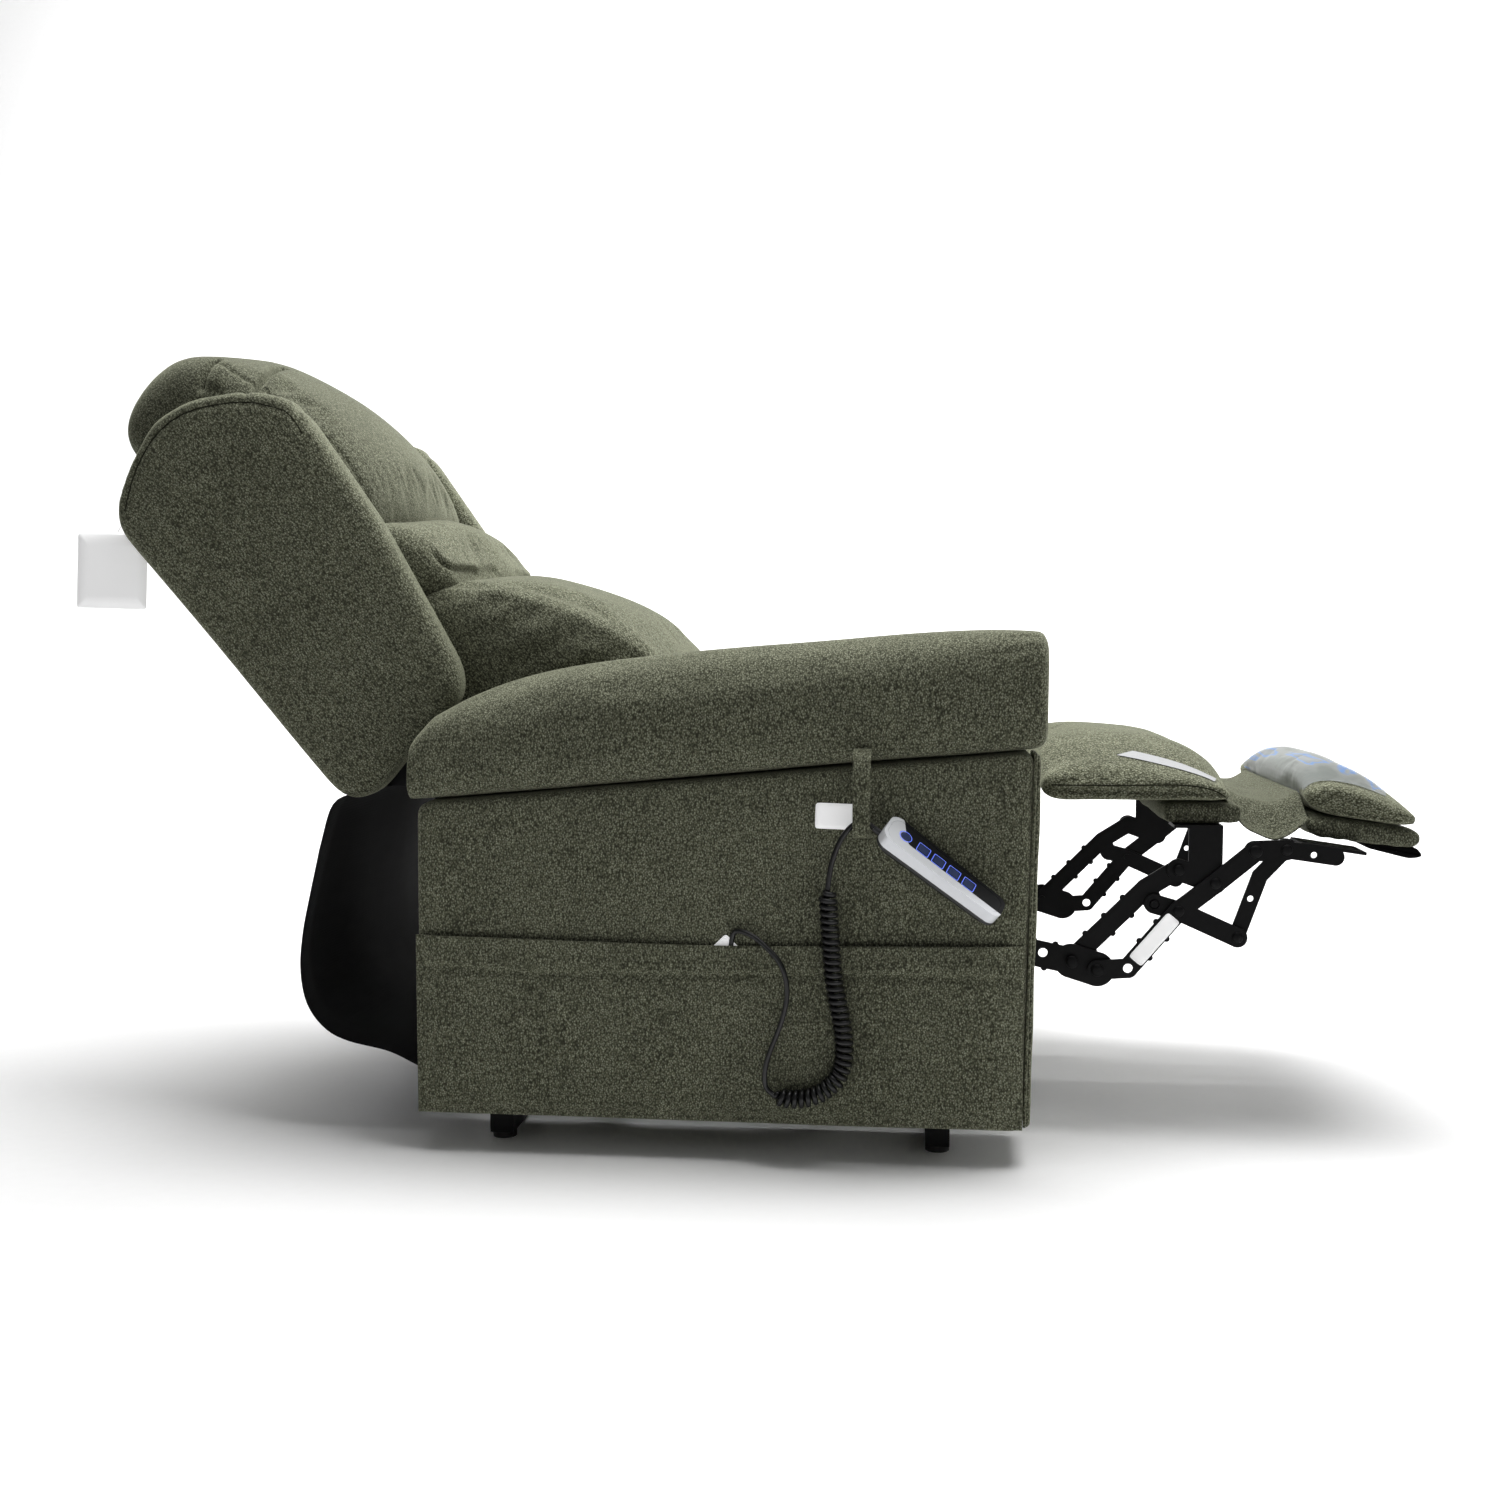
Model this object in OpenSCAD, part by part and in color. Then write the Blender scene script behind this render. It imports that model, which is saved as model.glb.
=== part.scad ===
// Powered lift recliner chair, shown fully reclined with the leg rest out.
// X points to the front, Z up. The origin is on the floor under the middle of the side panels.
// Outlines that lie in the X-Z plane are extruded along Y by slabY().

/* [Chair] */
// Width over the two side panels
chair_w = 770; // [740:5:820]
// Width of each arm and side panel
arm_w = 130; // [120:5:140]
// Length of a side panel at its foot
panel_l = 747; // [735:2:755]
// Height of the panels' lower edge over the floor
skirt_z = 42; // [40:1:46]
// Height of the seam between panel and arm, at the rear
seam_rear_z = 434; // [425:1:440]
// Height of that seam at the front
seam_front_z = 503; // [495:1:505]
// Height of the arm's crest at the front
arm_top_z = 646; // [635:1:655]
// Air between pieces that move past each other
air = 1; // [0.8:0.1:1.2]
// Air between pieces that are fixed to each other
seat_air = 0.3; // [0.2:0.05:0.3]

/* [Base] */
// Width of the front and rear floor tubes
base_w = 670; // [640:5:680]
// Height of the floor tubes over the floor, which is the height of a glide
glide_h = 8; // [6:1:9]
// Height of the floor tubes
base_tube_h = 26; // [22:1:27]
// Thickness of the lift brackets
bracket_t = 8; // [6:1:9]
// Radius of the lift pins
lift_pin_r = 8; // [7:0.5:9]

/* [Seat] */
// Height of the seat's crown
seat_z = 500; // [495:1:505]
// Thickness of the seat cushion
seat_t = 58; // [50:1:60]
// Number of zigzag springs
spring_n = 5; // [4:1:6]
// Wire radius of the springs
spring_r = 1.9; // [1.5:0.1:2.2]
// Distance between the legs of a spring
spring_pitch = 31; // [28:1:36]

/* [Back] */
// Tilt of the back from upright, fully reclined
back_tilt = 40; // [36:1:42]
// Thickness of a wing
wing_t = 58; // [50:1:62]
// Height of the wings along the back
wing_h = 521; // [505:1:530]
// Depth of the wings at their widest
wing_d = 286; // [280:1:292]
// Gap between a pillow and a wing
pillow_gap = 14; // [13:1:24]

/* [Leg rest] */
// Thickness of the link plates
plate_t = 4; // [3.5:0.1:4.2]
// Width of the links
link_w = 25; // [22:0.5:27]
// Radius of the link rivets
rivet_r = 5; // [4.5:0.1:5.5]
// Play of a rivet that turns in its link
rivet_fit = 0.05; // [0.03:0.01:0.1]
// How far the leg cushion stands back from each arm
leg_inset = 5; // [4:1:15]
// Thickness of the leg cushion
leg_t = 83; // [75:1:86]
// How far the foot pad stands back from each arm
foot_inset = 31; // [29:1:45]

/* [Handset] */
// Length of the handset
hand_l = 168; // [160:1:175]
// Width of the handset at its top
hand_w = 48; // [44:1:50]
// Thickness of the handset
hand_t = 25; // [22:1:27]
// Side of a square button
button_w = 13; // [11:0.5:14]
// Gap round a button
button_gap = 0.35; // [0.3:0.05:0.5]
// Travel of a button
button_travel = 1; // [0.8:0.1:1.2]
// Radius of the cord
cord_r = 3; // [2.5:0.1:3.2]
// Outer radius of the curly stretch of the cord
curl_r = 11.5; // [10:0.5:12]

/* [Hidden] */
$fn = 48;

fabric = "#4a4e3c";
black_steel = "#1b1b1c";
flap_black = "#0f1012";

side_in = chair_w / 2 - arm_w;
side_out = chair_w / 2;
leg_half = side_in - leg_inset;
foot_half = side_in - foot_inset;
panel_front = 352;
panel_rear = panel_front - panel_l;

// Planes of the link plates, counted inward from the arm; layer 3 is the chassis plate
function layer(n) = side_in - 4 - plate_t - n * (plate_t + air);

// Pivots of the leg rest as [X, Z], leg rest out
swing_pivot = [339, 425];
bar_a = [420, 226];
bar_b = [452, 216];
cross_hole = [522, 301];
board_a = [551, 345];
board_b = [596, 329];
cross_pivot = [551, 293];
foot_drive = [625, 260];
foot_pivot = [644, 370];
foot_pull = [683, 372];
link_bend = [490, 219];
// Extra hole radius at the three pivots where a closed loop is opened
board_play = 1.3;
cross_play = 1.5;
foot_play = 5;

// Pivots of the lift as [X, Z], lowered
arm_foot = [60, 60];
arm_head = [-314, 126];
link_foot = [124.5, 41.6];
link_head = [-155.5, 87.2];
lift_play = 1.6;
arm_tube_w = 20;
arm_tube_h = 30;
lift_link_t = 8;
link_r = 13;
link_in = layer(3) - 6 - lift_link_t;
arm_in = link_in - 2 - arm_tube_w;

// Back: origin at the wings' lower rear corner, turned by back_tilt
back_root = [-526, 436];
back_hinge = [-200, 455];
wing_in = layer(2) + plate_t + seat_air;
post_w = 28;

// Lower ends of the motors
lever_r = 36;
lever_y = -60;
yoke_z = swing_pivot[1] - lever_r + 4;
back_motor_y = 70;
back_motor_foot = [-345, 150];
back_motor_head = [-350, 395];
head_slot = 7;

hand_pos = [250, -side_out - 27, 361];
hand_dip = 37;
hand_roll = 30;
button_h = 4;

// ---------- helpers ----------

// Extrudes an X-Z outline along Y, from y0 over t
module slabY(y0, t) {
    translate([0, y0 + t, 0]) rotate([90, 0, 0]) linear_extrude(t) children();
}

// Repeats a right-hand piece on the left
module bothSides() {
    children();
    mirror([0, 1, 0]) children();
}

// Straight bar of width w between two points, with round ends; its flanks lie just inside the rounds
flank = 0.15;
module bar(p, q, w) {
    d = q - p;
    translate(p) circle(w / 2);
    translate(q) circle(w / 2);
    translate(p) rotate(atan2(d[1], d[0])) translate([0, flank - w / 2]) square([norm(d), w - 2 * flank]);
}

// Chain of bars through a list of points
module chain(pts, w) {
    for (i = [0:len(pts) - 2]) bar(pts[i], pts[i + 1], w);
}

// Small bumps along both edges of a link, left by the press tool
module nubs(p, q, w, n) {
    d = q - p;
    for (i = [1:n], s = [-1, 1])
        translate(p + d * (i / (n + 1))) rotate(atan2(d[1], d[0])) translate([s * 4, s * (w / 2 - 1)]) circle(4);
}

// Cylinder along Y through the X-Z point p
module pinY(p, r, y0, y1) {
    translate([p[0], y1, p[1]]) rotate([90, 0, 0]) cylinder(r = r, h = y1 - y0);
}

// Upholstered block: outline over a width, drawn in near both ends
module puff(pts, half, ease, y = 0) {
    hull() {
        slabY(y - half + ease, 2 * (half - ease)) polygon(pts);
        slabY(y - half, 2 * half) offset(delta = -ease) polygon(pts);
    }
}

module tubeY(p, r, half) {
    pinY(p, r, -half, half);
}

// ---------- base ----------

module baseFrame() {
    rail_w = 40;
    rail_y = arm_in - air - bracket_t - rail_w / 2;
    front_x = 251;
    rear_x = -300;
    color(black_steel) {
        for (x = [front_x, rear_x]) translate([x - 15, -base_w / 2, glide_h]) cube([30, base_w, base_tube_h]);
        bothSides() translate([rear_x, -rail_y - rail_w / 2, glide_h])
            cube([front_x - rear_x, rail_w, base_tube_h]);
        // The middle tube stands on the floor
        translate([-20, -rail_y, 0]) cube([40, 2 * rail_y, glide_h + base_tube_h]);
    }
}

module baseGlides() {
    color("#111111") bothSides() for (x = [251, -300])
        translate([x, -base_w / 2 + 16, 0]) cylinder(r = 15, h = glide_h);
}

// Upright plates welded to the rails, each with the two lift pins
module liftBrackets() {
    y1 = arm_in - air;
    y0 = y1 - bracket_t;
    color(black_steel) bothSides() {
        slabY(-y1, bracket_t) {
            translate([20, glide_h]) square([140, base_tube_h + 16]);
            bar(arm_foot, link_foot, 36);
        }
        pinY(arm_foot, lift_pin_r, -arm_in - arm_tube_w - 1, -y0);
        pinY(link_foot, lift_pin_r, -link_in - lift_link_t - 1, -y0);
    }
}

module liftArms() {
    color(black_steel) bothSides() difference() {
        slabY(-arm_in - arm_tube_w, arm_tube_w) {
            bar(arm_foot, arm_head, arm_tube_h);
            translate(arm_foot) circle(arm_tube_h / 2 + 3);
            translate(arm_head) circle(arm_tube_h / 2 + 3);
        }
        pinY(arm_foot, lift_pin_r + rivet_fit, -arm_in - arm_tube_w - 5, -arm_in + 5);
        pinY(arm_head, lift_pin_r + rivet_fit, -arm_in - arm_tube_w - 5, -arm_in + 5);
    }
    // Cross tube that ties the two arms
    color(black_steel) tubeY(arm_foot + (arm_head - arm_foot) * 0.62, 14, arm_in);
}

module liftLinks() {
    color(black_steel) bothSides() difference() {
        slabY(-link_in - lift_link_t, lift_link_t) bar(link_foot, link_head, 2 * link_r);
        pinY(link_foot, lift_pin_r + rivet_fit, -link_in - lift_link_t - 5, -link_in + 5);
        pinY(link_head, lift_pin_r - 1 + lift_play, -link_in - lift_link_t - 5, -link_in + 5);
    }
}

// ---------- chassis ----------

// Seat side plates: top rail, rear post and a brace to the lift link
module chassisPlates() {
    y0 = layer(3);
    top = 440;
    color(black_steel) bothSides() {
        difference() {
            slabY(-y0 - plate_t, plate_t) {
                translate([-345, 396]) square([680, top - 396]);
                translate(swing_pivot) circle(18);
                bar(back_hinge, [back_hinge[0], top - 22], 44);
                translate([-345, arm_head[1] + 8]) square([60, top - arm_head[1] - 20]);
                bar(arm_head, arm_head + [2, 40], 44);
                bar(link_head, [-120, 400], 40);
                bar([-300, 300], link_head + [-2, 8], 26);
            }
            pinY(swing_pivot, 12.5 + rivet_fit, -y0 - 10, -y0 + 5);
        }
        // Lift pins, inward, and back hinge pin, outward
        pinY(arm_head, lift_pin_r, -y0 - 0.5, -arm_in - 1);
        pinY(link_head, lift_pin_r - 1, -y0 - 0.5, -link_in + 1);
        pinY(back_hinge, lift_pin_r, -layer(2) - plate_t - 2, -y0 - 0.5);
    }
}

flap_rail = [-388, 76];
flap_rail_r = 9;
module chassisTubes() {
    y0 = layer(3);
    color(black_steel) {
        for (p = [[-250, 408], back_motor_foot]) tubeY(p, 12, y0);
        for (p = [[-297, 300], [-297, 205]]) tubeY(p, 10, y0);
        // Lower rear rail between the side boxes, which the flap hangs from
        tubeY(flap_rail, flap_rail_r, side_in - seat_air);
    }
}

module seatRails() {
    rail_h = 24;
    y0 = layer(3);
    color(black_steel) {
        for (x = [-45, 262]) translate([x, -y0, 414]) cube([22, 2 * y0, rail_h]);
        // Hangers that carry the panels and arms
        bothSides() for (x = [-300, 60])
            translate([x, -side_in, 400]) cube([40, side_in - y0 - plate_t, 20]);
    }
}

// One zigzag spring: straight legs joined by half turns, lying in the X-Y plane
module zigzag(length, pitch, half) {
    n = floor(length / pitch);
    for (i = [0:n - 1]) translate([i * pitch, 0, 0]) {
        translate([0, half, 0]) rotate([90, 0, 0]) cylinder(r = spring_r, h = 2 * half, $fn = 16);
        s = i % 2 == 0 ? 1 : -1;
        if (i < n - 1) translate([pitch / 2, s * half, 0]) rotate([0, 0, s > 0 ? 0 : 180])
            rotate_extrude(angle = 180, $fn = 24) translate([pitch / 2, 0]) circle(spring_r, $fn = 16);
    }
}

module seatSprings() {
    z = 438 + spring_r;
    first = -34;
    color("#6b6e70") for (i = [0:spring_n - 1])
        translate([first, (i - (spring_n - 1) / 2) * 84, z]) zigzag(310, spring_pitch, 17);
}

module seatCushion() {
    base = seat_z - seat_t;
    color(fabric) puff([[-40, base], [340, base], [350, base + 10], [358, seat_z - 38], [358, seat_z - 16],
        [342, seat_z - 4], [250, seat_z], [60, seat_z - 2], [-20, seat_z - 8], [-40, seat_z - 24]],
        layer(3) - 6, 8);
}

// ---------- arms and panels ----------

seam = [[panel_rear + 4, seam_rear_z], [panel_front + 9, seam_front_z]];

// Upholstered side box, a little wider at the top
module sidePanel() {
    color(fabric) hull() {
        slabY(-side_out + 5, arm_w - 5) polygon([[panel_rear, skirt_z + 2], [panel_front, skirt_z],
            seam[1], seam[0]]);
        slabY(-side_out, arm_w - 5) offset(delta = -5) polygon([[panel_rear, skirt_z + 2],
            [panel_front, skirt_z], seam[1], seam[0]]);
    }
}

// Crest of the arm as [X, height below the front crest]
crest = [[-404, 136], [-378, 108], [-339, 88], [-223, 54], [-46, 31], [201, 10], [340, 0]];

// One cross-section of the arm: flat foot and a round crown
module armSlice(x, foot, top, inset) {
    yc = -(side_in + side_out) / 2;
    half = arm_w / 2 - inset;
    r = min(52, (top - foot) / 2);
    translate([x, 0, 0]) {
        for (s = [-1, 1]) translate([0, yc + s * (half - r), top - r])
            rotate([0, 90, 0]) cylinder(r = r, h = 0.5, $fn = 32);
        translate([0, yc - half + 3, foot]) cube([0.5, 2 * half - 6, 1]);
    }
}

function seamAt(x) = seam[0][1] + (x - seam[0][0]) / (seam[1][0] - seam[0][0]) * (seam[1][1] - seam[0][1]);

module armPillow() {
    color(fabric) hull() {
        for (c = crest) armSlice(c[0], seamAt(c[0]) + 1, arm_top_z - c[1], 1);
        armSlice(370, seamAt(370) + 1, arm_top_z - 14, 6);
        armSlice(379, seamAt(379) + 3, arm_top_z - 38, 16);
    }
}

// Outline of a facing: it follows the sloping front edge of the side box
module facing(inset, t) {
    front = [for (z = [skirt_z + inset, seam_front_z - inset])
        [panel_front + seat_air + 9 * (z - skirt_z) / (seam_front_z - skirt_z), z]];
    polygon([front[0], front[0] + [t, 0], front[1] + [t, 0], front[1]]);
}

// Padded facings on the front of the side boxes
module armFronts() {
    color(fabric) bothSides() hull() {
        slabY(-side_out + 6, arm_w - 12) facing(3, 5);
        slabY(-side_out + 14, arm_w - 28) facing(11, 9);
    }
}

// Storage pocket over the lower half of the right panel, open at its top
pocket_z = 276;
pocket_gap = 7;
pocket_skin = 3;
module sidePocket() {
    y_out = -side_out - pocket_gap - pocket_skin;
    x0 = panel_rear + 3;
    x1 = panel_front - 1;
    h = pocket_z - skirt_z - 6;
    color(fabric) {
        translate([x0, y_out, skirt_z + 6]) cube([x1 - x0, pocket_skin, h]);
        translate([x0, y_out, skirt_z + 6]) cube([x1 - x0, pocket_gap + pocket_skin - seat_air, 4]);
        for (x = [x0, x1 - 4]) translate([x, y_out, skirt_z + 6]) cube([4, pocket_gap + pocket_skin - seat_air, h]);
    }
}

// Dust flap behind the seat, a slack sheet from the back's foot to the rear rail
flap_line = [[-528, 412], [-552, 370], [-569, 315], [-584, 261], [-591, 206], [-585, 166], [-568, 130],
    [-536, 105], [-488, 93], [-446, 82], flap_rail - [flap_rail_r + 2 + seat_air, 0]];
module backFlap() {
    color(flap_black) slabY(-side_in - 60, 2 * (side_in + 60)) {
        chain(flap_line, 4);
    }
}

module powerBox() {
    // Held between two cross tubes
    z0 = 205 + 10 + seat_air;
    color("#202122") translate([-318, layer(3) - 130, z0]) {
        cube([42, 115, 300 - 10 - seat_air - z0]);
        translate([42, 20, 15]) cube([8, 30, 24]);
    }
}

// ---------- back ----------

module backPose() {
    translate([back_root[0], 0, back_root[1]]) rotate([0, -back_tilt, 0]) children();
}

// Plywood frame: two posts and three rails, in the back's own tilted axes
module backFrame() {
    y1 = layer(2) - seat_air;
    color("#a58a60") backPose() {
        bothSides() translate([14, -y1, -18]) cube([36, post_w, wing_h - 40]);
        for (u = [-18, 226, wing_h - 108]) translate([18, -y1 + post_w, u]) cube([28, 2 * (y1 - post_w), 50]);
    }
}

function toWorld(p) = back_root + [p[0] * cos(back_tilt) - p[1] * sin(back_tilt),
    p[0] * sin(back_tilt) + p[1] * cos(back_tilt)];

// Steel plates from the back frame to the hinge, and the lug that the motor lifts
module backBrackets() {
    y0 = layer(2);
    cross = back_motor_head + [-34, 8];
    color(black_steel) {
        bothSides() difference() {
            slabY(-y0 - plate_t, plate_t) {
                chain([toWorld([33, 90]), toWorld([33, 0]), back_hinge], 32);
                bar(toWorld([100, -60]), cross, 26);
            }
            pinY(back_hinge, lift_pin_r + rivet_fit, -y0 - 10, -y0 + 5);
        }
        // Cross bar under the back, with two lugs on a pin for the motor
        tubeY(cross, 8, y0);
        for (s = [-1, 1]) slabY(back_motor_y + s * 15 - 3, 6) bar(cross, back_motor_head, 22);
        pinY(back_motor_head, 5, back_motor_y - 18, back_motor_y + 18);
    }
}

module backPanel() {
    color(fabric) backPose() translate([0, -wing_in + seat_air, -20])
        cube([14 - seat_air, 2 * (wing_in - seat_air), wing_h - 56]);
}

// Wing outline in the back's own axes: straight rear edge, round top, front edge falling to the seat
function wingLine() = [[0, 0], [0, wing_h - 76], [17, wing_h - 50], [64, wing_h - 23], [126, wing_h],
    [183, wing_h - 11], [246, wing_h - 51], [wing_d - 10, wing_h - 86], [wing_d, wing_h - 106],
    [wing_d - 2, wing_h - 137], [wing_d - 15, 230], [wing_d - 55, 23], [219, 1], [203, -13],
    [101, -22], [42, -34], [9, -22]];

module wing() {
    ease = 12;
    color(fabric) backPose() hull() {
        slabY(-wing_in - wing_t + ease, wing_t - 2 * ease) polygon(wingLine());
        slabY(-wing_in - wing_t, wing_t) offset(delta = -ease) polygon(wingLine());
    }
}

pillow_rear = 50 + seat_air;
pillow_half = wing_in - seat_air - pillow_gap;
module headPillow() {
    color(fabric) backPose() puff([[pillow_rear, 250], [pillow_rear, 560], [86, 590], [139, 609], [190, 602],
        [224, 586], [255, 555], [276, 515], [305, 455], [329, 390], [337, 330], [336, 285], [322, 256], [290, 250]],
        pillow_half, 22);
}

module middlePillow() {
    color(fabric) backPose() puff([[pillow_rear, 102 + seat_air], [pillow_rear, 250 - seat_air], [270, 250 - seat_air],
        [292, 228], [302, 184], [311, 130], [306, 106], [296, 102 + seat_air]], pillow_half, 12);
}

module lumbarPillow() {
    color(fabric) backPose() puff([[pillow_rear, -34], [pillow_rear, 102], [300, 102], [345, 88], [400, 28],
        [436, -60], [447, -112], [438, -152], [402, -188], [345, -208]], pillow_half, 26);
}

// ---------- motors ----------

// Leg motor: gearbox behind, tube forward, on a bracket from the chassis tube
module legMotor() {
    color("#232425") {
        difference() {
            union() {
                translate([-110, lever_y, yoke_z]) rotate([0, 90, 0]) cylinder(r = 17, h = 330);
                translate([-150, lever_y - 28, yoke_z - 24]) cube([70, 56, 46]);
                translate([-115, lever_y, yoke_z - 84]) cylinder(r = 26, h = 70);
            }
            translate([-76, lever_y, yoke_z]) rotate([0, 90, 0]) cylinder(r = 10.5, h = 310);
        }
        difference() {
            translate([-270, lever_y - 15, yoke_z - 16]) cube([121, 30, 30]);
            tubeY([-250, 408], 12 + seat_air, 200);
        }
    }
}

// Rod with a slotted yoke; the lever's pin slides up and down in the slot
module legMotorRod() {
    pin_x = swing_pivot[0] + lever_r * sin(42);
    color("#8d9093") {
        translate([-10, lever_y, yoke_z]) rotate([0, 90, 0]) cylinder(r = 10, h = pin_x - 12 + 10);
        difference() {
            translate([pin_x - 14, lever_y - 6, yoke_z - 20]) cube([28, 12, 38]);
            translate([pin_x - 9.3, lever_y - 8, yoke_z - 12]) cube([18.6, 16, 40]);
        }
    }
}

module backMotor() {
    d = back_motor_head - back_motor_foot;
    color("#232425") translate([back_motor_foot[0], back_motor_y, back_motor_foot[1]])
        rotate([0, atan2(d[0], d[1]), 0]) difference() {
            union() {
                translate([0, 0, 20]) cylinder(r = 17, h = 150);
                translate([-18, -24, -18]) cube([36, 48, 52]);
                translate([9, 0, 30]) cylinder(r = 24, h = 76);
            }
            rotate([90, 0, 0]) cylinder(r = 12 + rivet_fit, h = 80, center = true);
            translate([0, 0, 60]) cylinder(r = 9.5, h = 200);
        }
}

module backMotorRod() {
    d = back_motor_head - back_motor_foot;
    len = norm(d);
    color("#8d9093") translate([back_motor_foot[0], back_motor_y, back_motor_foot[1]])
        rotate([0, atan2(d[0], d[1]), 0]) {
            translate([0, 0, 65]) cylinder(r = 9, h = len - 65 - 8);
            difference() {
                translate([-18, -9, len - 12]) cube([30, 18, 24]);
                translate([0, 10, len]) rotate([90, 0, 0]) linear_extrude(20)
                    for (x = [-head_slot, 0]) translate([x, 0]) circle(5.6);
                translate([-head_slot, -10, len - 5.6]) cube([head_slot, 20, 11.2]);
            }
        }
}

// ---------- leg rest ----------

module swingBars() {
    y0 = layer(1);
    knee = [338, 243];
    color(black_steel) bothSides() difference() {
        union() {
            slabY(-y0 - plate_t, plate_t) {
                chain([swing_pivot, knee + [0, 30], knee], 30);
                bar(knee, bar_a, 34);
                bar(bar_a, bar_b, 44);
                nubs(knee, bar_a, 34, 2);
            }
            // Bosses that reach back to the drive tube, and the two link rivets
            pinY(bar_a, rivet_r, -y0 - plate_t, -layer(2) + 1);
            pinY(bar_b, rivet_r, -layer(0) - plate_t - 1, -y0);
        }
        pinY(swing_pivot, 8, -y0 - 10, -y0 + 5);
        pinY([384, 236], 6, -y0 - 10, -y0 + 5);
    }
}

// Torque tube that joins both swing bars, with the lever that the leg motor pushes
module driveTube() {
    y1 = layer(1) - seat_air;
    pin = swing_pivot + lever_r * [sin(42), -cos(42)];
    color(black_steel) {
        tubeY(swing_pivot, 12.5, y1);
        bothSides() pinY(swing_pivot, 8 - seat_air, -y1 - plate_t - 2, -y1 + 1);
        for (s = [-1, 1]) slabY(lever_y + s * 14 - 3, 6) bar(swing_pivot, pin, 18);
        pinY(pin, 5, lever_y - 17, lever_y + 17);
    }
}

module ottomanLinks() {
    y0 = layer(2);
    bend = [512, 320];
    color(black_steel) bothSides() difference() {
        union() {
            slabY(-y0 - plate_t, plate_t) {
                chain([bar_a, bend, board_a], link_w);
                bar(bend, cross_hole, link_w);
                nubs(bar_a, bend, link_w, 3);
            }
            pinY(cross_hole, rivet_r, -layer(1) - plate_t - 1, -y0);
            pinY(board_a, rivet_r, -layer(1) - plate_t - 1, -y0);
        }
        pinY(bar_a, rivet_r + rivet_fit, -y0 - 10, -y0 + 5);
    }
}

module longLinks() {
    y0 = layer(0);
    color(black_steel) bothSides() difference() {
        union() {
            slabY(-y0 - plate_t, plate_t) {
                chain([bar_b, link_bend, cross_pivot, board_b, foot_pivot], link_w);
                nubs(link_bend, cross_pivot, link_w, 2);
            }
            pinY(cross_pivot, rivet_r, -y0, -layer(1) + 0.5);
            pinY(foot_pivot, rivet_r, -y0, -layer(1) + 0.5);
        }
        pinY(bar_b, rivet_r + rivet_fit, -y0 - 10, -y0 + 5);
        pinY(board_b, rivet_r + board_play, -y0 - 10, -y0 + 5);
        pinY(link_bend, 6, -y0 - 10, -y0 + 5);
    }
}

module crossLinks() {
    y0 = layer(1);
    color(black_steel) bothSides() difference() {
        union() {
            slabY(-y0 - plate_t, plate_t) chain([cross_hole, cross_pivot, foot_drive], link_w);
            pinY(foot_drive, rivet_r, -y0, -layer(2) + 0.5);
        }
        pinY(cross_hole, rivet_r + cross_play, -y0 - 10, -y0 + 5);
        pinY(cross_pivot, rivet_r + rivet_fit, -y0 - 10, -y0 + 5);
    }
}

module footLinks() {
    y0 = layer(2);
    color(black_steel) bothSides() difference() {
        slabY(-y0 - plate_t, plate_t) {
            chain([foot_drive, [652, 338], foot_pull], 20);
            translate(foot_drive) circle(12);
            translate(foot_pull) circle(14);
        }
        pinY(foot_drive, rivet_r + rivet_fit, -y0 - 10, -y0 + 5);
        pinY(foot_pull, 4 + foot_play, -y0 - 10, -y0 + 5);
        pinY([641, 309], 4, -y0 - 10, -y0 + 5);
    }
}

board_z = 402;
module legBrackets() {
    y0 = layer(1);
    color(black_steel) bothSides() {
        difference() {
            union() {
                slabY(-y0 - plate_t, plate_t) {
                    bar(board_a, board_b, 28);
                    translate([563, 340]) square([42, board_z - 4 - 340]);
                }
                pinY(board_b, rivet_r, -layer(0) - plate_t, -y0);
            }
            pinY(board_a, rivet_r + rivet_fit, -y0 - 10, -y0 + 5);
        }
        // Foot that screws under the leg board
        translate([545, -y0 - plate_t, board_z - 4]) cube([60, 46, 4 - seat_air]);
    }
}

module legBoard() {
    color(fabric) puff([[535, board_z], [629, board_z], [631, board_z + 6], [630, board_z + 27],
        [535, board_z + 27], [533, board_z + 20], [533, board_z + 4]], leg_half - 12, 4);
}

module legCushion() {
    base = board_z + 27 + seat_air;
    color(fabric) puff([[377, base + 20], [394, base], [612, base], [624, base + 10], [620, base + 30],
        [598, base + 55], [560, base + 72], [500, base + leg_t - 2], [440, base + leg_t], [395, base + leg_t - 3],
        [377, base + leg_t - 14]], leg_half, 14);
}

// Foot pad outline as [X, Z]; its board lies under it
foot_line = [[640, 444], [631, 466], [640, 488], [683, 498], [740, 481], [792, 457], [834, 421], [841, 396],
    [829, 386], [722, 401]];
module footBrackets() {
    y0 = layer(1);
    color(black_steel) bothSides() {
        difference() {
            union() {
                slabY(-y0 - plate_t, plate_t) {
                    bar(foot_pivot, foot_pull, 26);
                    bar(foot_pull, [742, 364], 22);
                }
                pinY(foot_pull, 4, -y0, -layer(2) + 0.5);
            }
            pinY(foot_pivot, rivet_r + rivet_fit, -y0 - 10, -y0 + 5);
            pinY([716, 366], 4, -y0 - 10, -y0 + 5);
        }
        // Foot that screws under the pad's board
        translate([740, -y0 - plate_t, 376]) rotate([0, 8.05, 0]) translate([-40, 0, -4]) cube([80, 60, 4]);
    }
}

module footBoard() {
    color(flap_black) puff([[664, 393], [722, 378.9], [780, 370.7], [832, 366], [838, 380], [829, 385], [722, 400],
        [664, 408]], foot_half - 4, 3);
}

module footCushion() {
    color(fabric) puff(foot_line, foot_half, 16);
}

// ---------- handset ----------

module handPose() {
    translate(hand_pos) rotate([0, hand_dip, 0]) rotate([hand_roll, 0, 0]) children();
}

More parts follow.
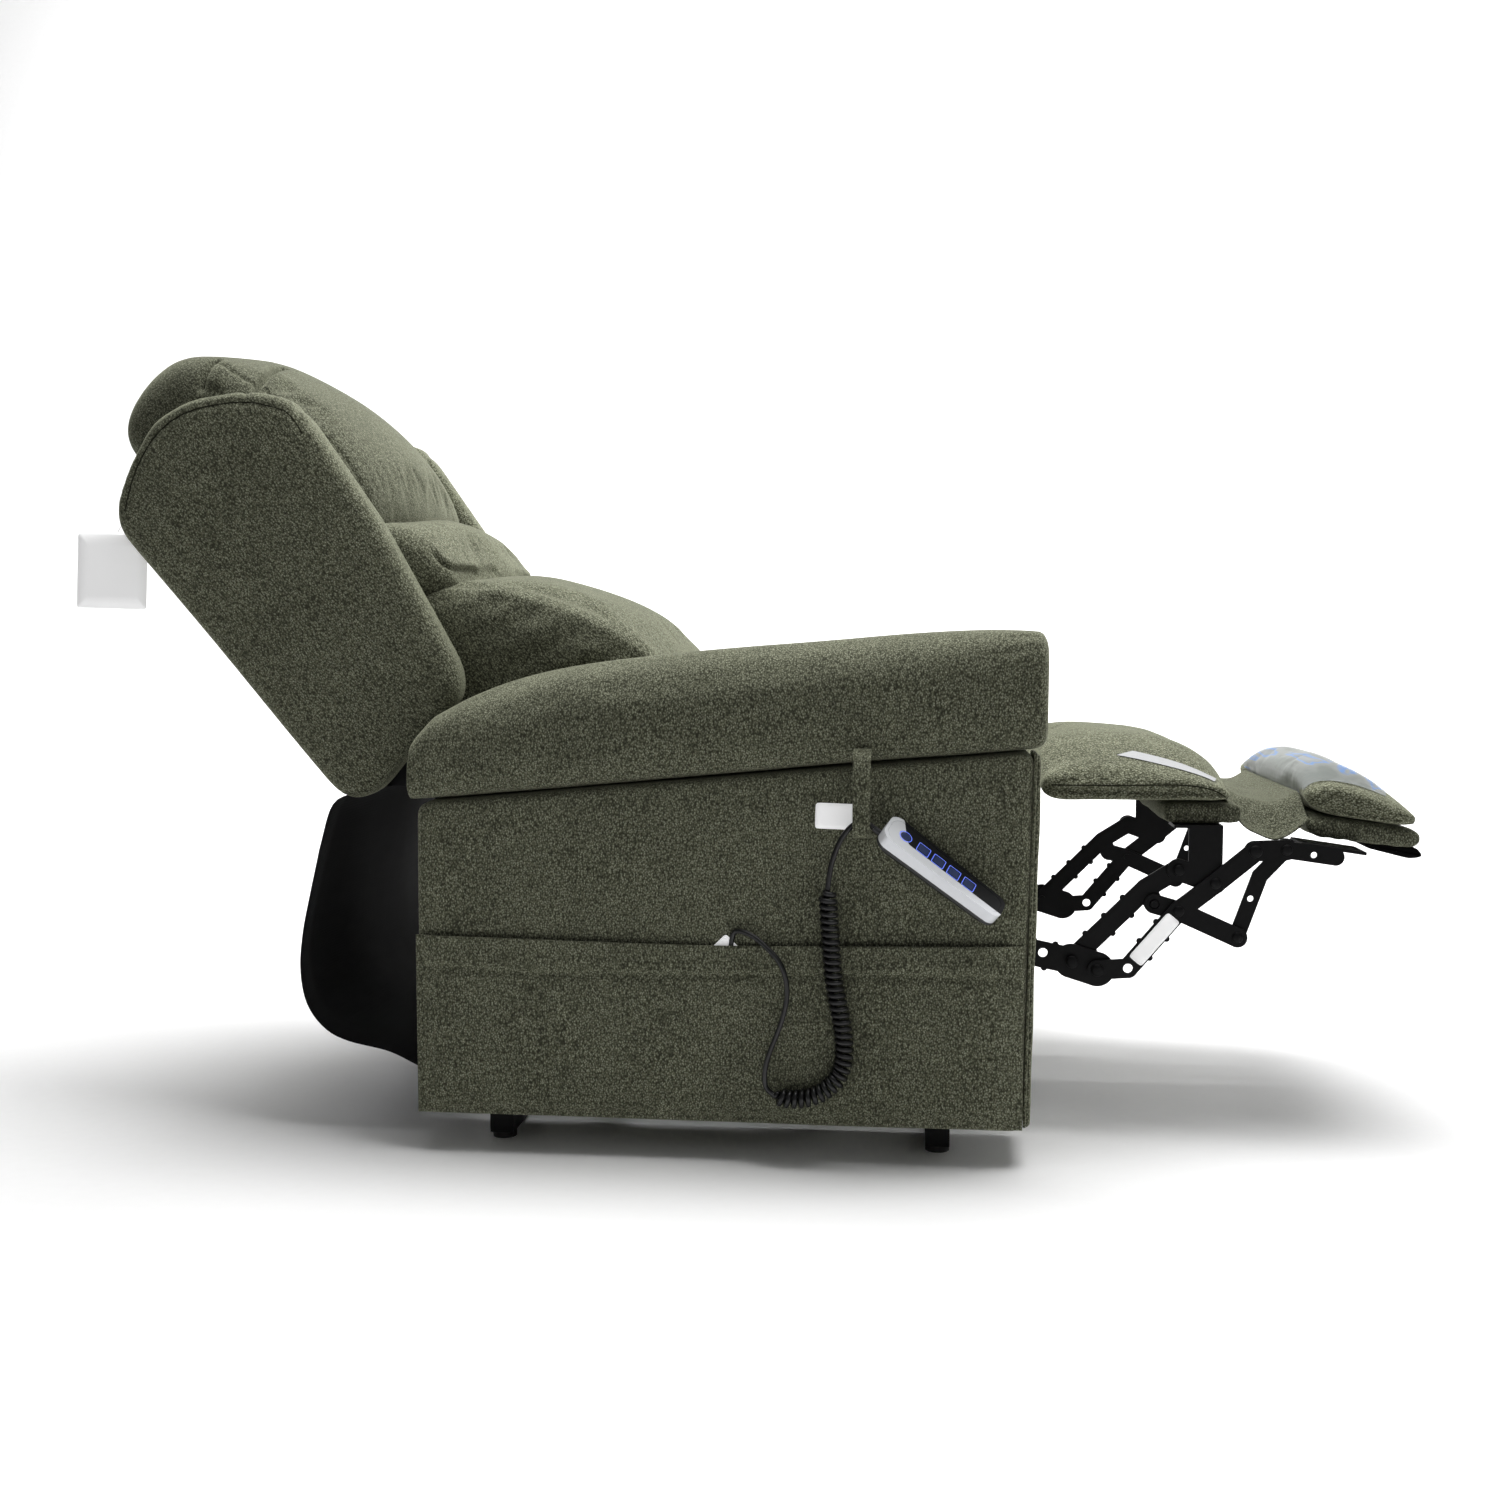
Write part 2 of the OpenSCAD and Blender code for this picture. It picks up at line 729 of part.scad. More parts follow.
// Handset outline, a little slimmer at its lower end
module handOutline(inset = 0) {
    r1 = hand_w / 2 - inset;
    r2 = hand_w / 2 - 5 - inset;
    hull() {
        for (s = [-1, 1]) translate([-hand_l / 2 + 14 + inset, s * (r1 - 14)]) circle(14);
        for (s = [-1, 1]) translate([hand_l / 2 - 12 - inset, s * (r2 - 12)]) circle(12);
    }
}

shell_z = -2;
face_z = hand_t / 2 - 2.4;
module handsetBack() {
    color("#17181a") handPose() hull() {
        translate([0, 0, -hand_t / 2]) linear_extrude(1) handOutline(6);
        translate([0, 0, shell_z - 4]) linear_extrude(4 - 0.05) handOutline();
    }
    // Cord gland at the upper end
    color("#17181a") handPose() translate([-hand_l / 2 - 9, 0, -6.2]) rotate([0, 90, 0]) cylinder(r = 3.8, h = 12);
}

module handsetShell() {
    color("#c4c6c8") handPose() difference() {
        translate([0, 0, shell_z]) linear_extrude(hand_t / 2 - shell_z) handOutline();
        translate([0, 0, face_z]) linear_extrude(10) handOutline(4);
        for (b = buttons) translate([b[0], 0, face_z - button_travel - 2]) linear_extrude(10)
            if (b[1] == 0) circle(button_w / 2 + 1);
            else square(button_w + 2, center = true);
    }
}

// Buttons as [place along the handset, 0 round or 1 square]
buttons = [[-58, 0], [-32, 1], [-10, 1], [12, 1], [34, 1]];

module buttonHole(b, gap) {
    if (b[1] == 0) circle(button_w / 2 + gap);
    else square(button_w + 2 * gap, center = true);
}

module handsetFace() {
    color("#0b0c0e") handPose() difference() {
        translate([0, 0, face_z + 0.05]) linear_extrude(2.2) handOutline(4 + seat_air);
        for (b = buttons) translate([b[0], 0, face_z - 1]) linear_extrude(10) buttonHole(b, button_gap);
    }
}

module button(i) {
    b = buttons[i];
    color("#26344f") handPose() translate([b[0], 0, face_z - 1.2]) linear_extrude(button_h) buttonHole(b, 0);
}

// Fabric loop on the panel that the handset's cord hangs in
loop_w = 16;
loop_t = 2;
loop_gap = 30;
module handsetLoop() {
    x = 150;
    y_front = -side_out - loop_gap - 2 * loop_t;
    color(fabric) {
        translate([x, -side_out - loop_t, 402]) cube([loop_w, loop_t - seat_air, 102]);
        translate([x, y_front, 402]) cube([loop_w, loop_t, 102]);
        for (z = [400, 500]) translate([x, y_front, z]) cube([loop_w, loop_gap + 2 * loop_t - seat_air, 4]);
    }
}

// ---------- cord ----------

// Ring of a swept tube at point p, across the direction d
function ring(p, d, r, n) =
    let (f = d / norm(d),
        u0 = abs(f[1]) < 0.9 ? cross(f, [0, 1, 0]) : cross(f, [1, 0, 0]),
        u = u0 / norm(u0),
        v = cross(f, u))
    [for (i = [0:n - 1]) p + r * (u * cos(i * 360 / n) + v * sin(i * 360 / n))];

// Point of a smooth curve through the list p at parameter t
function spline(p, t) =
    let (n = len(p), i = min(floor(t), n - 2), f = t - i,
        a = p[max(i - 1, 0)], b = p[i], c = p[i + 1], d = p[min(i + 2, n - 1)])
    0.5 * (2 * b + (c - a) * f + (2 * a - 5 * b + 4 * c - d) * f * f + (3 * b - a - 3 * c + d) * f * f * f);

module sweep(route, r, per, sides) {
    n = (len(route) - 1) * per;
    pts = [for (k = [0:n]) spline(route, k / per)];
    rings = [for (k = [0:n]) ring(pts[k], pts[min(k + 1, n)] - pts[max(k - 1, 0)], r, sides)];
    polyhedron([for (g = rings) each g],
        [[for (i = [0:sides - 1]) sides - 1 - i],
            for (k = [0:n - 1], i = [0:sides - 1])
                let (a = k * sides + i, b = k * sides + (i + 1) % sides) [a, b, b + sides, a + sides],
            [for (i = [0:sides - 1]) n * sides + i]]);
}

cord_y = -side_out - 22.5;
cord_route = [[172.2, -408.9, 413], [165.5, -408.9, 417.8], [156, -408.5, 419.5], [145, -407.8, 413.5],
    [133, cord_y, 397], [123, cord_y, 371], [118, cord_y, 339]];
curl_route = [[118, cord_y, 340], [121, cord_y, 290], [126, cord_y, 230], [138, cord_y, 160], [134, cord_y, 118],
    [110, cord_y, 92], [78, cord_y, 84], [54, cord_y, 88]];
lead_route = [[55, cord_y, 88], [44, cord_y, 100], [46, cord_y, 130], [64, cord_y, 180], [70, cord_y, 215],
    [62, cord_y, 248], [36, -side_out - 16, 274], [16, -side_out - 12, 284], [4, -side_out - 5, 281],
    [0, -side_out - 3.5, 262]];

module handsetCord() {
    color("#141516") sweep(cord_route, cord_r, 3, 8);
}

module handsetCurl() {
    color("#141516") sweep(curl_route, curl_r, 2, 12);
}

module handsetLead() {
    color("#141516") sweep(lead_route, cord_r, 3, 8);
}

baseFrame();  // base_frame
baseGlides();  // base_glides
liftBrackets();  // lift_brackets
liftArms();  // lift_arms
liftLinks();  // lift_links
chassisPlates();  // chassis_plates
chassisTubes();  // chassis_tubes
seatRails();  // seat_rails
seatSprings();  // seat_springs
seatCushion();  // seat_cushion
sidePanel();  // side_panel_right
mirror([0, 1, 0]) sidePanel();  // side_panel_left
armPillow();  // arm_right
mirror([0, 1, 0]) armPillow();  // arm_left
armFronts();  // arm_fronts
sidePocket();  // side_pocket
backFlap();  // back_flap
powerBox();  // power_box
backFrame();  // back_frame
backBrackets();  // back_brackets
backPanel();  // back_panel
wing();  // wing_right
mirror([0, 1, 0]) wing();  // wing_left
headPillow();  // head_pillow
middlePillow();  // middle_pillow
lumbarPillow();  // lumbar_pillow
legMotor();  // leg_motor
legMotorRod();  // leg_motor_rod
backMotor();  // back_motor
backMotorRod();  // back_motor_rod
swingBars();  // swing_bars
driveTube();  // drive_tube
ottomanLinks();  // ottoman_links
longLinks();  // long_links
crossLinks();  // cross_links
footLinks();  // foot_links
legBrackets();  // leg_brackets
legBoard();  // leg_board
legCushion();  // leg_cushion
footBrackets();  // foot_brackets
footBoard();  // foot_board
footCushion();  // foot_cushion
handsetLoop();  // handset_loop
handsetBack();  // handset_back
handsetShell();  // handset_shell
handsetFace();  // handset_face
button(0);  // button_power
button(1);  // button_1
button(2);  // button_2
button(3);  // button_3
button(4);  // button_4
handsetCord();  // handset_cord
handsetCurl();  // handset_curl
handsetLead();  // handset_lead
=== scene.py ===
import math

import bmesh
import bpy
import numpy as np
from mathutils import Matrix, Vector
from mathutils.bvhtree import BVHTree


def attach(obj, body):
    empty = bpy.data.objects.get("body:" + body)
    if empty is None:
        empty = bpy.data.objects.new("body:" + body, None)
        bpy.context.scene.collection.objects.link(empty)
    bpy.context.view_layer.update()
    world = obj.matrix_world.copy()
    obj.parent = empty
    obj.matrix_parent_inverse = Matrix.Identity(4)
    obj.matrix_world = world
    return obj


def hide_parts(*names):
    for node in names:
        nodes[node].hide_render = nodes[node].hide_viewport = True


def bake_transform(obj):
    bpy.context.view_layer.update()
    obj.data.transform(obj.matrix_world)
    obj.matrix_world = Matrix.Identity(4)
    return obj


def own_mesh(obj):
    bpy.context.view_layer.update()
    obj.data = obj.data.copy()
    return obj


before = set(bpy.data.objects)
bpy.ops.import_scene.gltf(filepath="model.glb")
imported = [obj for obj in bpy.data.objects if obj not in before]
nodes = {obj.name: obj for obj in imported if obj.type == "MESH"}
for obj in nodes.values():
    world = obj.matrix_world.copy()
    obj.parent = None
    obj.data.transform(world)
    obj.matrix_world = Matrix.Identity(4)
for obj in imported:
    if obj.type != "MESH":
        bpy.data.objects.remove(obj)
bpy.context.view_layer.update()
scene = bpy.context.scene


def srgb(hexText):
    values = [int(hexText[i:i + 2], 16) / 255 for i in (1, 3, 5)]
    return tuple(v / 12.92 if v <= 0.04045 else ((v + 0.055) / 1.055) ** 2.4 for v in values) + (1.0,)


def addNode(tree, kind, inputs=None, **settings):
    node = tree.nodes.new(kind)
    for name, value in settings.items():
        setattr(node, name, value)
    for name, value in (inputs or {}).items():
        if isinstance(value, bpy.types.NodeSocket):
            tree.links.new(value, node.inputs[name])
        else:
            node.inputs[name].default_value = value
    return node


def newMaterial(name, hexText, roughness, metallic=0.0):
    material = bpy.data.materials.new(name)
    material.use_nodes = True
    tree = material.node_tree
    shader = tree.nodes["Principled BSDF"]
    shader.inputs["Base Color"].default_value = srgb(hexText)
    shader.inputs["Roughness"].default_value = roughness
    shader.inputs["Metallic"].default_value = metallic
    material.diffuse_color = srgb(hexText)
    return material, tree, shader


def fillRamp(node, stops):
    ramp = node.color_ramp
    while len(ramp.elements) < len(stops):
        ramp.elements.new(0.5)
    for element, (place, hexText) in zip(ramp.elements, stops):
        element.position = place
        element.color = srgb(hexText)


def objectPoint(tree, turnY=0.0, stretch=(1, 1, 1)):
    # Pattern space in metres, turned about Y to follow the cloth
    place = addNode(tree, "ShaderNodeTexCoord")
    turned = addNode(tree, "ShaderNodeMapping", {"Vector": place.outputs["Object"], "Rotation": (0, math.radians(turnY), 0)})
    return addNode(tree, "ShaderNodeMapping", {"Vector": turned.outputs["Vector"], "Scale": stretch}).outputs["Vector"]


def noiseTexture(tree, scale, detail, point=None, **inputs):
    point = objectPoint(tree) if point is None else point
    return addNode(tree, "ShaderNodeTexNoise", {"Vector": point, "Scale": scale, "Detail": detail, **inputs})


def mapRange(tree, value, low, high, start, end, **settings):
    inputs = {"Value": value, "From Min": low, "From Max": high, "To Min": start, "To Max": end}
    return addNode(tree, "ShaderNodeMapRange", inputs, **settings).outputs["Result"]


def rampColour(tree, shader, value, stops):
    ramp = addNode(tree, "ShaderNodeValToRGB", {"Fac": value})
    fillRamp(ramp, stops)
    tree.links.new(ramp.outputs["Color"], shader.inputs["Base Color"])


def bumpSkin(tree, shader, height, strength, distance):
    bump = addNode(tree, "ShaderNodeBump", {"Height": height, "Strength": strength, "Distance": distance})
    tree.links.new(bump.outputs["Normal"], shader.inputs["Normal"])


def linkPiece(name, data):
    piece = bpy.data.objects.new(name, data)
    scene.collection.objects.link(piece)
    return piece


def smoothFaces(mesh):
    for face in mesh.polygons:
        face.use_smooth = True


def makeObject(name, points, faces, material=None):
    mesh = bpy.data.meshes.new(name)
    mesh.from_pydata([tuple(p) for p in points], [], faces)
    mesh.validate()
    shape = bmesh.new()
    shape.from_mesh(mesh)
    bmesh.ops.recalc_face_normals(shape, faces=shape.faces)
    shape.to_mesh(mesh)
    shape.free()
    if material:
        mesh.materials.append(material)
    smoothFaces(mesh)
    return linkPiece(name, mesh)


def bakeModifiers(piece):
    bpy.context.view_layer.update()
    graph = bpy.context.evaluated_depsgraph_get()
    made = bpy.data.meshes.new_from_object(piece.evaluated_get(graph))
    made.name = piece.name
    piece.modifiers.clear()
    old = piece.data
    piece.data = made
    bpy.data.meshes.remove(old)
    smoothFaces(made)


def thicken(piece, thick, offset=-1):
    solid = piece.modifiers.new("thick", "SOLIDIFY")
    solid.thickness = thick
    solid.offset = offset
    bakeModifiers(piece)


def vertexArray(piece, kind="co"):
    flat = np.zeros(len(piece.data.vertices) * 3)
    piece.data.vertices.foreach_get(kind, flat)
    return flat.reshape(-1, 3)


def setVertices(piece, points):
    piece.data.vertices.foreach_set("co", np.asarray(points, float).ravel())
    piece.data.update()


def smoothStep(t):
    t = np.clip(t, 0, 1)
    return t * t * (3 - 2 * t)


def runAlong(points):
    return np.r_[0, np.cumsum(np.linalg.norm(np.diff(points, axis=0), axis=1))]


def pathLength(points):
    return float(np.linalg.norm(np.diff(points, axis=0), axis=1).sum())


def gridFaces(columns, rows):
    across = columns + 1
    return [(j * across + i, j * across + i + 1, (j + 1) * across + i + 1, (j + 1) * across + i)
            for j in range(rows) for i in range(columns)]


def skinOf(pad):
    return BVHTree.FromPolygons([v.co for v in pad.data.vertices], [tuple(p.vertices) for p in pad.data.polygons])


def curvePoints(points, count, closed=False):
    # Even walk along a Catmull-Rom curve through the points
    p = np.asarray(points, float)
    n = len(p)
    out = []
    spans = n if closed else n - 1
    for i in range(spans):
        a, b, c, d = (p[(i + k) % n] if closed else p[min(max(i + k, 0), n - 1)] for k in (-1, 0, 1, 2))
        for t in np.linspace(0, 1, 16, endpoint=False):
            out.append(0.5 * ((2 * b) + (c - a) * t
                              + (2 * a - 5 * b + 4 * c - d) * t * t + (3 * b - a - 3 * c + d) * t ** 3))
    out.append(out[0] if closed else p[-1])
    out = np.array(out)
    lengths = runAlong(out)
    walk = np.linspace(0, lengths[-1], count, endpoint=not closed)
    return np.array([[np.interp(w, lengths, out[:, k]) for k in range(p.shape[1])] for w in walk])


def roundLoop(points, step=10, passes=5):
    # Closed outline walked at even steps, its corners eased by averaging
    p = np.asarray(list(points) + [points[0]], float)
    lengths = runAlong(p)
    count = max(24, int(lengths[-1] / step))
    walk = np.linspace(0, lengths[-1], count, endpoint=False)
    loop = np.array([[np.interp(w, lengths, p[:, k]) for k in range(2)] for w in walk])
    for _ in range(passes):
        loop = 0.5 * loop + 0.25 * (np.roll(loop, 1, 0) + np.roll(loop, -1, 0))
    return loop


def loopNormals(loop):
    d = np.roll(loop, -1, 0) - np.roll(loop, 1, 0)
    n = np.c_[d[:, 1], -d[:, 0]]
    n /= np.linalg.norm(n, axis=1)[:, None]
    area = 0.5 * np.sum(loop[:, 0] * np.roll(loop[:, 1], -1) - np.roll(loop[:, 0], -1) * loop[:, 1])
    return n if area > 0 else -n


def loftAcross(name, loop, yMin, yMax, edge, crown=0, crownFor=None, material=None, stations=14):
    # Closed pad: an X-Z outline carried along Y, its ends rounded over and its middle crowned; all in mm
    out = loopNormals(loop)
    weight = np.ones(len(loop)) if crownFor is None else crownFor(loop, out)
    middle, half = (yMin + yMax) / 2, (yMax - yMin) / 2
    rings = []
    turns = [math.radians(a) for a in (90, 75, 60, 45, 30, 15, 0)]
    rows = [(-half + edge - edge * math.sin(a), edge * (1 - math.cos(a))) for a in turns]
    rows += [(y, 0) for y in np.linspace(-half + edge, half - edge, stations)[1:-1]]
    rows += [(-y, inset) for y, inset in rows[:7][::-1]]
    for y, inset in rows:
        bulge = crown * max(0, 1 - (y / half) ** 2)
        flat = loop - out * inset + out * (weight * bulge)[:, None]
        rings.append(np.c_[flat[:, 0], np.full(len(flat), middle + y), flat[:, 1]])
    return loftRings(name, rings, material)


def loftRings(name, rings, material=None):
    count = len(rings[0])
    points = np.concatenate(rings) / 1000
    faces = []
    for r in range(len(rings) - 1):
        for i in range(count):
            a, b = r * count + i, r * count + (i + 1) % count
            faces.append((a, b, b + count, a + count))
    faces.append(tuple(range(count))[::-1])
    faces.append(tuple(range((len(rings) - 1) * count, len(rings) * count)))
    return makeObject(name, points, faces, material)


def evenMesh(piece, voxel, passes=6):
    # Even quads all over, then eased
    remesh = piece.modifiers.new("even", "REMESH")
    remesh.mode = "VOXEL"
    remesh.voxel_size = voxel / 1000
    ease = piece.modifiers.new("ease", "SMOOTH")
    ease.factor = 0.5
    ease.iterations = passes
    slots = list(piece.data.materials)
    bakeModifiers(piece)
    piece.data.materials.clear()
    for m in slots:
        piece.data.materials.append(m)


def pathDistance(points, path):
    # Distance to a polyline, and how far along it the nearest place is
    best = np.full(len(points), 1e9)
    along = np.zeros(len(points))
    walked = 0.0
    for a, b in zip(path[:-1], path[1:]):
        d = b - a
        size = float(np.linalg.norm(d))
        if size < 1e-9:
            continue
        t = np.clip((points - a) @ d / size ** 2, 0, 1)
        gap = np.linalg.norm(points - (a + t[:, None] * d), axis=1)
        near = gap < best
        best[near] = gap[near]
        along[near] = walked + t[near] * size
        walked += size
    return best, along, walked


def sewSeam(piece, path, depth, width, plane=None, facing=None, pucker=0.0, puckerEvery=14, fade=0.0, smooth=True):
    # Presses a seam or fold into a pad's skin; a negative depth raises a ridge. Path in mm, flat when plane names two axes
    points, normals = vertexArray(piece) * 1000, vertexArray(piece, "normal")
    path = np.asarray(path, float)
    if smooth and len(path) > 2:
        path = curvePoints(path, max(12, 6 * len(path)))
    if plane is None:
        path = np.array([points[np.argmin(((points - spot) ** 2).sum(1))] for spot in path])
        for _ in range(4):
            path[1:-1] = 0.5 * path[1:-1] + 0.25 * (path[:-2] + path[2:])
    flat = points if plane is None else points[:, plane]
    gap, along, total = pathDistance(flat, path)
    amount = depth * np.exp(-(gap / width) ** 2)
    if pucker:
        side = np.exp(-(gap / (width * 3.2)) ** 2)
        amount = amount + pucker * side * np.sin(along / puckerEvery * 2 * math.pi + np.sin(along / 37) * 2)
    if fade:
        amount = amount * smoothStep(along / fade) * smoothStep((total - along) / fade)
    if facing is not None:
        amount = amount * smoothStep((normals @ np.array(facing, float) - 0.15) / 0.35)
    setVertices(piece, (points - normals * amount[:, None]) / 1000)


def ripple(piece, amount, size, seed):
    # Slow uneven swell of stuffed cloth
    points, normals = vertexArray(piece), vertexArray(piece, "normal")
    rng = np.random.default_rng(seed)
    total = np.zeros(len(points))
    for k in range(6):
        d = rng.normal(size=3)
        d /= np.linalg.norm(d)
        total += np.sin(points @ d * 2 * math.pi / (size / 1000 * rng.uniform(0.7, 1.6)) + rng.uniform(0, 6.28))
    move = normals * (amount / 1000 * total / 3)[:, None]
    setVertices(piece, points + move)


padQueue = []


def queuePadding(piece, pressure, cap, pinned):
    padQueue.append((piece, pressure, cap, pinned))


def simulatePadding(frames=20):
    # All pads swell together in one cloth run
    start = {}
    for piece, pressure, _, pinned in padQueue:
        points = vertexArray(piece)
        start[piece.name] = points
        group = piece.vertex_groups.new(name="sewn")
        for i in np.nonzero(pinned(points * 1000))[0]:
            group.add([int(i)], 1.0, "REPLACE")
        cloth = piece.modifiers.new("cloth", "CLOTH")
        s = cloth.settings
        s.quality = 4
        s.mass = 0.25
        s.tension_stiffness = s.compression_stiffness = 12
        s.shear_stiffness = 6
        s.bending_stiffness = 0.6
        s.use_pressure = True
        s.uniform_pressure_force = pressure
        s.effector_weights.gravity = 0
        s.vertex_group_mass = "sewn"
        cloth.collision_settings.use_collision = False
        cloth.collision_settings.use_self_collision = False
    for step in range(1, frames + 1):
        scene.frame_set(step)
    graph = bpy.context.evaluated_depsgraph_get()
    for piece, _, cap, _ in padQueue:
        shift = vertexArray(piece.evaluated_get(graph)) - start[piece.name]
        size = np.linalg.norm(shift, axis=1)
        limit = cap / 1000
        scale = np.where(size > 1e-9, limit * np.tanh(size / limit) / np.maximum(size, 1e-9), 1)
        setVertices(piece, start[piece.name] + shift * scale[:, None])
    scene.frame_set(1)
    for piece, *_ in padQueue:
        points = vertexArray(piece)
        piece.modifiers.clear()
        setVertices(piece, points)
    print("padding simulated:", len(padQueue), "pads")


def tube(name, points, radius, material, sides=8):
    curve = bpy.data.curves.new(name, "CURVE")
    curve.dimensions = "3D"
    curve.bevel_depth = radius
    curve.bevel_resolution = sides // 4
    curve.use_fill_caps = True
    line = curve.splines.new("POLY")
    line.points.add(len(points) - 1)
    for point, co in zip(line.points, points):
        point.co = (*co, 1)
    curve.materials.append(material)
    return linkPiece(name, curve)


def mirrored(piece, name):
    copy = piece.copy()
    copy.data = piece.data.copy()
    copy.name = copy.data.name = name
    scene.collection.objects.link(copy)
    points = vertexArray(copy)
    points[:, 1] *= -1
    setVertices(copy, points)
    shape = bmesh.new()
    shape.from_mesh(copy.data)
    bmesh.ops.reverse_faces(shape, faces=shape.faces)
    shape.to_mesh(copy.data)
    shape.free()
    return copy


def finishPiece(piece, body, *replaced, fill=None, slot="upholstery"):
    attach(piece, body)
    if replaced:
        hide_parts(*replaced)


view = {"place": (0.222, -2.277, 0.640), "tilt": 85.863, "turn": 6.0, "lens": 38.16}
cameraData = bpy.data.cameras.new("camera")
cameraData.lens = view["lens"]
cameraData.sensor_width = 36
camera = linkPiece("camera", cameraData)
camera.location = view["place"]
camera.rotation_euler = (math.radians(view["tilt"]), 0, math.radians(view["turn"]))
scene.camera = camera

studio = {"world": 0.14, "top": 134, "front": 2, "side": 9, "backdrop": 330}
world = bpy.data.worlds.new("studio")
world.use_nodes = True
worldShader = world.node_tree.nodes["Background"]
worldShader.inputs["Color"].default_value = (1, 1, 1, 1)
worldShader.inputs["Strength"].default_value = studio["world"]
scene.world = world


def areaLight(name, place, target, size, power):
    data = bpy.data.lights.new(name, "AREA")
    data.shape = "RECTANGLE"
    data.size, data.size_y = size
    data.energy = power
    lamp = linkPiece(name, data)
    lamp.location = place
    lamp.rotation_euler = (Vector(target) - Vector(place)).to_track_quat("-Z", "Y").to_euler()


areaLight("topSoftbox", (0.15, 0.12, 2.9), (0.1, 0.0, 0.3), (3.2, 1.5), studio["top"])
areaLight("frontSoftbox", (0.9, -2.8, 1.9), (0.1, 0, 0.4), (2.2, 1.6), studio["front"])
areaLight("sideSoftbox", (2.6, 0.6, 1.7), (0.2, 0, 0.5), (1.6, 1.6), studio["side"])
areaLight("backdropSoftbox", (0, 1.9, 3.4), (0, 4.6, 1.4), (6.0, 0.8), studio["backdrop"])

floorPaint, tree, shader = newMaterial("paintedStudioFloor", "#f4f4f4", 0.85)
grain = noiseTexture(tree, 60.0, 4.0).outputs["Fac"]
tree.links.new(mapRange(tree, grain, 0, 1, 0.93, 0.97), shader.inputs["Base Color"])
# One sheet: floor in front, curving up into the backdrop
sweepRows = [(-6.0, 0.0), (3.0, 0.0)]
sweepRows += [(3.0 + 2 * math.sin(a), 2 - 2 * math.cos(a)) for a in np.linspace(0.15, math.pi / 2, 10)] + [(5.0, 7.0)]
points = [(x, y, z) for y, z in sweepRows for x in (-9, 9)]
faces = [(2 * i, 2 * i + 1, 2 * i + 3, 2 * i + 2) for i in range(len(sweepRows) - 1)]
floor = makeObject("studioFloor", points, faces, floorPaint)
scene.view_settings.view_transform = "Standard"
scene.view_settings.look = "None"
print("camera, lights and floor placed")


backLean = 40  # degrees back from upright
handsetPlace = {"origin": (250, -412, 361), "roll": 30, "dip": 37}  # mm, degrees
# valley, crest and tip are yarn tones that also carry painted shade in the weave's hollows and a painted highlight on
# each knot
tweedLook = {"threadMm": 2.0, "slubMm": 1.3, "valley": "#2f3024", "crest": "#676957", "tip": "#a2a493"}


def wovenTweed(name, turnY, lift=1.0):
    # Chenille tweed, woven from heathered yarn: matt, with fine pale flecks that line up in short ribs along the warp.
    # Each yarn knot is pale at its crest and dark in the hollows round it: partly yarn colour, partly painted highlight
    # and painted shade
    look = tweedLook
    material, tree, shader = newMaterial(name, look["crest"], 0.95)
    threads = addNode(tree, "ShaderNodeTexVoronoi", {"Vector": objectPoint(tree, turnY, (1.0, 1.0, 0.72)),
                                                     "Scale": 1000 / look["threadMm"], "Randomness": 0.92})
    # Knot tone follows the bump height: dark hollows are partly painted shade, pale crests partly a painted highlight
    crown = mapRange(tree, threads.outputs["Distance"], 0.05, 0.75, 1.0, 0.0)
    yarn = addNode(tree, "ShaderNodeValToRGB", {"Fac": crown})
    fillRamp(yarn, [(0.0, look["valley"]), (0.62, look["crest"]), (1.0, look["tip"])])
    ribs = objectPoint(tree, turnY, (1.0, 1.0, 0.3))
    slub = noiseTexture(tree, 1000 / look["slubMm"] / 2, 2.0, ribs, Roughness=0.7).outputs["Fac"]
    # lift scales this copy's whole tone: above 1 it paints light onto the cloth, below 1 it paints shade
    slubTone = mapRange(tree, slub, 0.3, 0.7, 0.58 * lift, 1.44 * lift)
    cloudTone = mapRange(tree, noiseTexture(tree, 22.0, 4.0).outputs["Fac"], 0.3, 0.7, 0.92, 1.08)
    tone = addNode(tree, "ShaderNodeMath", {0: slubTone, 1: cloudTone}, operation="MULTIPLY")
    dyed = addNode(tree, "ShaderNodeVectorMath", {0: yarn.outputs["Color"],
                                                     "Scale": tone.outputs["Value"]}, operation="SCALE")
    tree.links.new(dyed.outputs["Vector"], shader.inputs["Base Color"])
    height = addNode(tree, "ShaderNodeMath", {0: crown, 1: slub}, operation="ADD")
    bumpSkin(tree, shader, height.outputs["Value"], 0.38, 0.0006)
    shader.inputs["Sheen Weight"].default_value = 0.4
    shader.inputs["Sheen Roughness"].default_value = 0.5
    shader.inputs["Sheen Tint"].default_value = srgb("#c9ccb0")
    shader.inputs["Specular IOR Level"].default_value = 0.2
    return material


# Copies of one cloth, toned for the light their surfaces get: painted light on the tops, painted shade on the head
# pillow and on the board wraps and gusset underneath; the side and back copies are toned slightly up
tweedSide = wovenTweed("oliveTweedSide", 0, 1.05)
tweedBack = wovenTweed("oliveTweedBack", backLean, 1.09)
tweedTopLit = wovenTweed("oliveTweedTopLit", 90, 1.2)
tweedHeadShaded = wovenTweed("oliveTweedHeadShaded", backLean, 0.79)
tweedUnderShaded = wovenTweed("oliveTweedUnderShaded", 0, 0.76)


